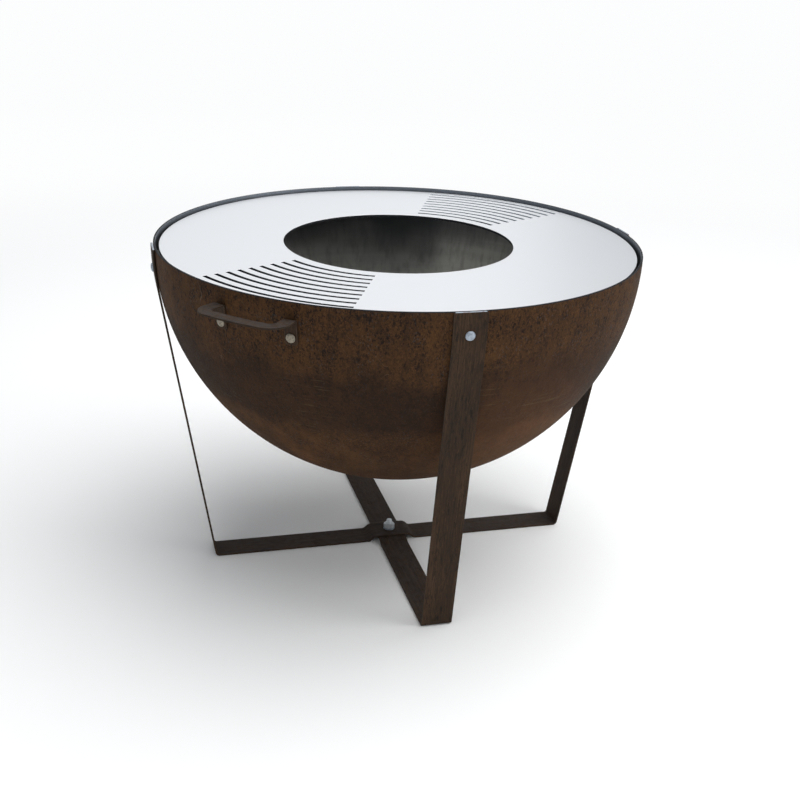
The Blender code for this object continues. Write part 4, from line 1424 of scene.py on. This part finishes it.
class FIREBOWL_OT_cross_fasteners(bpy.types.Operator):
    """Builds the bolt that holds the straps together, with its washer and nut on top"""

    bl_idname = "fire_bowl.cross_fasteners"
    bl_label = "Crossing Fasteners"
    bl_options = {"REGISTER", "UNDO"}

    def execute(self, context):
        head_at = LOWER_STRAP_RISE - GAP
        washer_at = UPPER_STRAP_RISE + SHEET + GAP
        nut_at = washer_at + LARGE["thin"] + GAP
        length = nut_at + LARGE["tall"] + CROSS_STUD_PAST_NUT - head_at
        bolt = bolt_mesh("bolt", LARGE, length, LARGE["tall"] + CROSS_STUD_PAST_NUT + THREAD_PAST_NUT)
        upside_down = Matrix.Translation((0.0, 0.0, head_at)) @ Matrix.Rotation(HALF_TURN, 4, "X")
        washer_place = Matrix.Translation((0.0, 0.0, washer_at))
        nut_place = Matrix.Translation((0.0, 0.0, nut_at)) @ Matrix.Rotation(NUT_TURN, 4, "Z")
        for kind, mesh, place, zinc in (
            ("bolt", bolt, upside_down, "bright_zinc"),
            ("washer", washer_mesh("washer", LARGE), washer_place, "dull_zinc"),
            ("nut", nut_mesh("nut", LARGE), nut_place, "bright_zinc"),
        ):
            add_piece(f"cross_{kind}", placed(mesh, place), (finish(zinc),), "stand")
        return {"FINISHED"}


class FIREBOWL_OT_stage(bpy.types.Operator):
    """Builds the pale floor, the soft lights and the camera"""

    bl_idname = "fire_bowl.stage"
    bl_label = "Stage"
    bl_options = {"REGISTER", "UNDO"}

    def execute(self, context):
        make_floor()
        make_lights()
        make_sky()
        make_camera()
        return {"FINISHED"}


class FIREBOWL_PT_pieces(bpy.types.Panel):
    """Lists the fire bowl's pieces, sizes and colours"""

    bl_idname = "FIREBOWL_PT_pieces"
    bl_label = "Fire Bowl"
    bl_space_type = "VIEW_3D"
    bl_region_type = "UI"
    bl_category = "Fire Bowl"

    def draw(self, context):
        column = self.layout.column(align=True)
        for operator in OPERATORS:
            column.operator(operator.bl_idname)
        for group in (context.scene.fire_bowl_sizes, context.scene.fire_bowl_colours):
            column = self.layout.column()
            for name in group.bl_rna.properties.keys():
                if name not in ("rna_type", "name"):
                    column.prop(group, name)


# Stage.
def make_floor():
    """A level square under the object, on a grid of two by two points."""
    corner = FLOOR_HALF_SIDE * np.array([[-1.0, -1.0, 0.0], [1.0, -1.0, 0.0], [1.0, 1.0, 0.0], [-1.0, 1.0, 0.0]])
    mesh = bpy.data.meshes.new("floor")
    mesh.from_pydata(corner.tolist(), [], [(0, 1, 2, 3)])
    mesh.materials.append(finish("studio_floor"))
    floor = bpy.data.objects.new("floor", mesh)
    bpy.context.scene.collection.objects.link(floor)


def make_lights():
    """Square soft lights that all look at the bowl and stay out of the camera's own sight."""
    target = Vector((0.0, 0.0, 0.5 * BOWL_TOP.z))
    for name, (place, side, power) in LIGHTS.items():
        data = bpy.data.lights.new(name, "AREA")
        data.shape = "SQUARE"
        data.size = side
        data.energy = power
        light = bpy.data.objects.new(name, data)
        light.location = place
        light.rotation_euler = (target - Vector(place)).to_track_quat("-Z", "Y").to_euler()
        light.visible_camera = False
        bpy.context.scene.collection.objects.link(light)


def make_sky():
    """A pale backdrop for the camera, and a dimmer even sky for everything else."""
    world = bpy.data.worlds.new("studio")
    world.use_nodes = True
    tree = world.node_tree
    tree.nodes.clear()
    seen = put(tree, "ShaderNodeLightPath").outputs["Is Camera Ray"]
    sky = put(tree, "ShaderNodeBackground", {"Color": opaque(SKY_COLOUR), "Strength": SKY_STRENGTH})
    backdrop = put(tree, "ShaderNodeBackground", {"Color": opaque(BACKDROP_COLOUR), "Strength": 1.0})
    joined = put(tree, "ShaderNodeMixShader", {0: seen, 1: sky.outputs[0], 2: backdrop.outputs[0]})
    output = put(tree, "ShaderNodeOutputWorld", {"Surface": joined.outputs[0]})
    output.is_active_output = True
    bpy.context.scene.world = world


def make_camera():
    """The camera stands back from the axis on the front leg's left, above the rim, and looks down at the bowl."""
    data = bpy.data.cameras.new("camera")
    data.lens = CAMERA_LENS
    data.clip_end = 200.0
    camera = bpy.data.objects.new("camera", data)
    round_axis = Matrix.Rotation(CAMERA_AZIMUTH, 4, "Z")
    back = Matrix.Translation((0.0, -CAMERA_BACK, BOWL_TOP.z + CAMERA_ABOVE_RIM))
    heading = Matrix.Rotation(-CAMERA_YAW, 4, "Z")
    tilt = Matrix.Rotation(QUARTER_TURN - CAMERA_PITCH, 4, "X")
    roll = Matrix.Rotation(CAMERA_ROLL, 4, "Z")
    camera.matrix_world = round_axis @ back @ heading @ tilt @ roll
    bpy.context.scene.collection.objects.link(camera)
    bpy.context.scene.camera = camera


GROUPS = (FireBowlSizes, FireBowlColours)
OPERATORS = (
    FIREBOWL_OT_finishes,
    FIREBOWL_OT_bowl,
    FIREBOWL_OT_ring,
    FIREBOWL_OT_straps,
    FIREBOWL_OT_brackets,
    FIREBOWL_OT_handles,
    FIREBOWL_OT_wall_fasteners,
    FIREBOWL_OT_cross_fasteners,
    FIREBOWL_OT_stage,
)
CLASSES = (*GROUPS, *OPERATORS, FIREBOWL_PT_pieces)


def register():
    for made in CLASSES:
        bpy.utils.register_class(made)
    bpy.types.Scene.fire_bowl_sizes = PointerProperty(type=FireBowlSizes)
    bpy.types.Scene.fire_bowl_colours = PointerProperty(type=FireBowlColours)


def unregister():
    del bpy.types.Scene.fire_bowl_colours
    del bpy.types.Scene.fire_bowl_sizes
    for made in reversed(CLASSES):
        bpy.utils.unregister_class(made)


def clear_startup_scene():
    """Removes what Blender starts with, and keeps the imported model."""
    kept = {*frame["nodes"].values(), *frame["bodies"].values()}
    for found in list(bpy.data.objects):
        if found not in kept:
            bpy.data.objects.remove(found)


def main():
    register()
    clear_startup_scene()
    bpy.context.scene.view_settings.view_transform = "Standard"
    bpy.ops.fire_bowl.finishes()
    bpy.ops.fire_bowl.bowl()
    bpy.ops.fire_bowl.ring()
    bpy.ops.fire_bowl.straps()
    bpy.ops.fire_bowl.brackets()
    bpy.ops.fire_bowl.handles()
    bpy.ops.fire_bowl.wall_fasteners()
    bpy.ops.fire_bowl.cross_fasteners()
    bpy.ops.fire_bowl.stage()


if __name__ == "__main__":
    main()
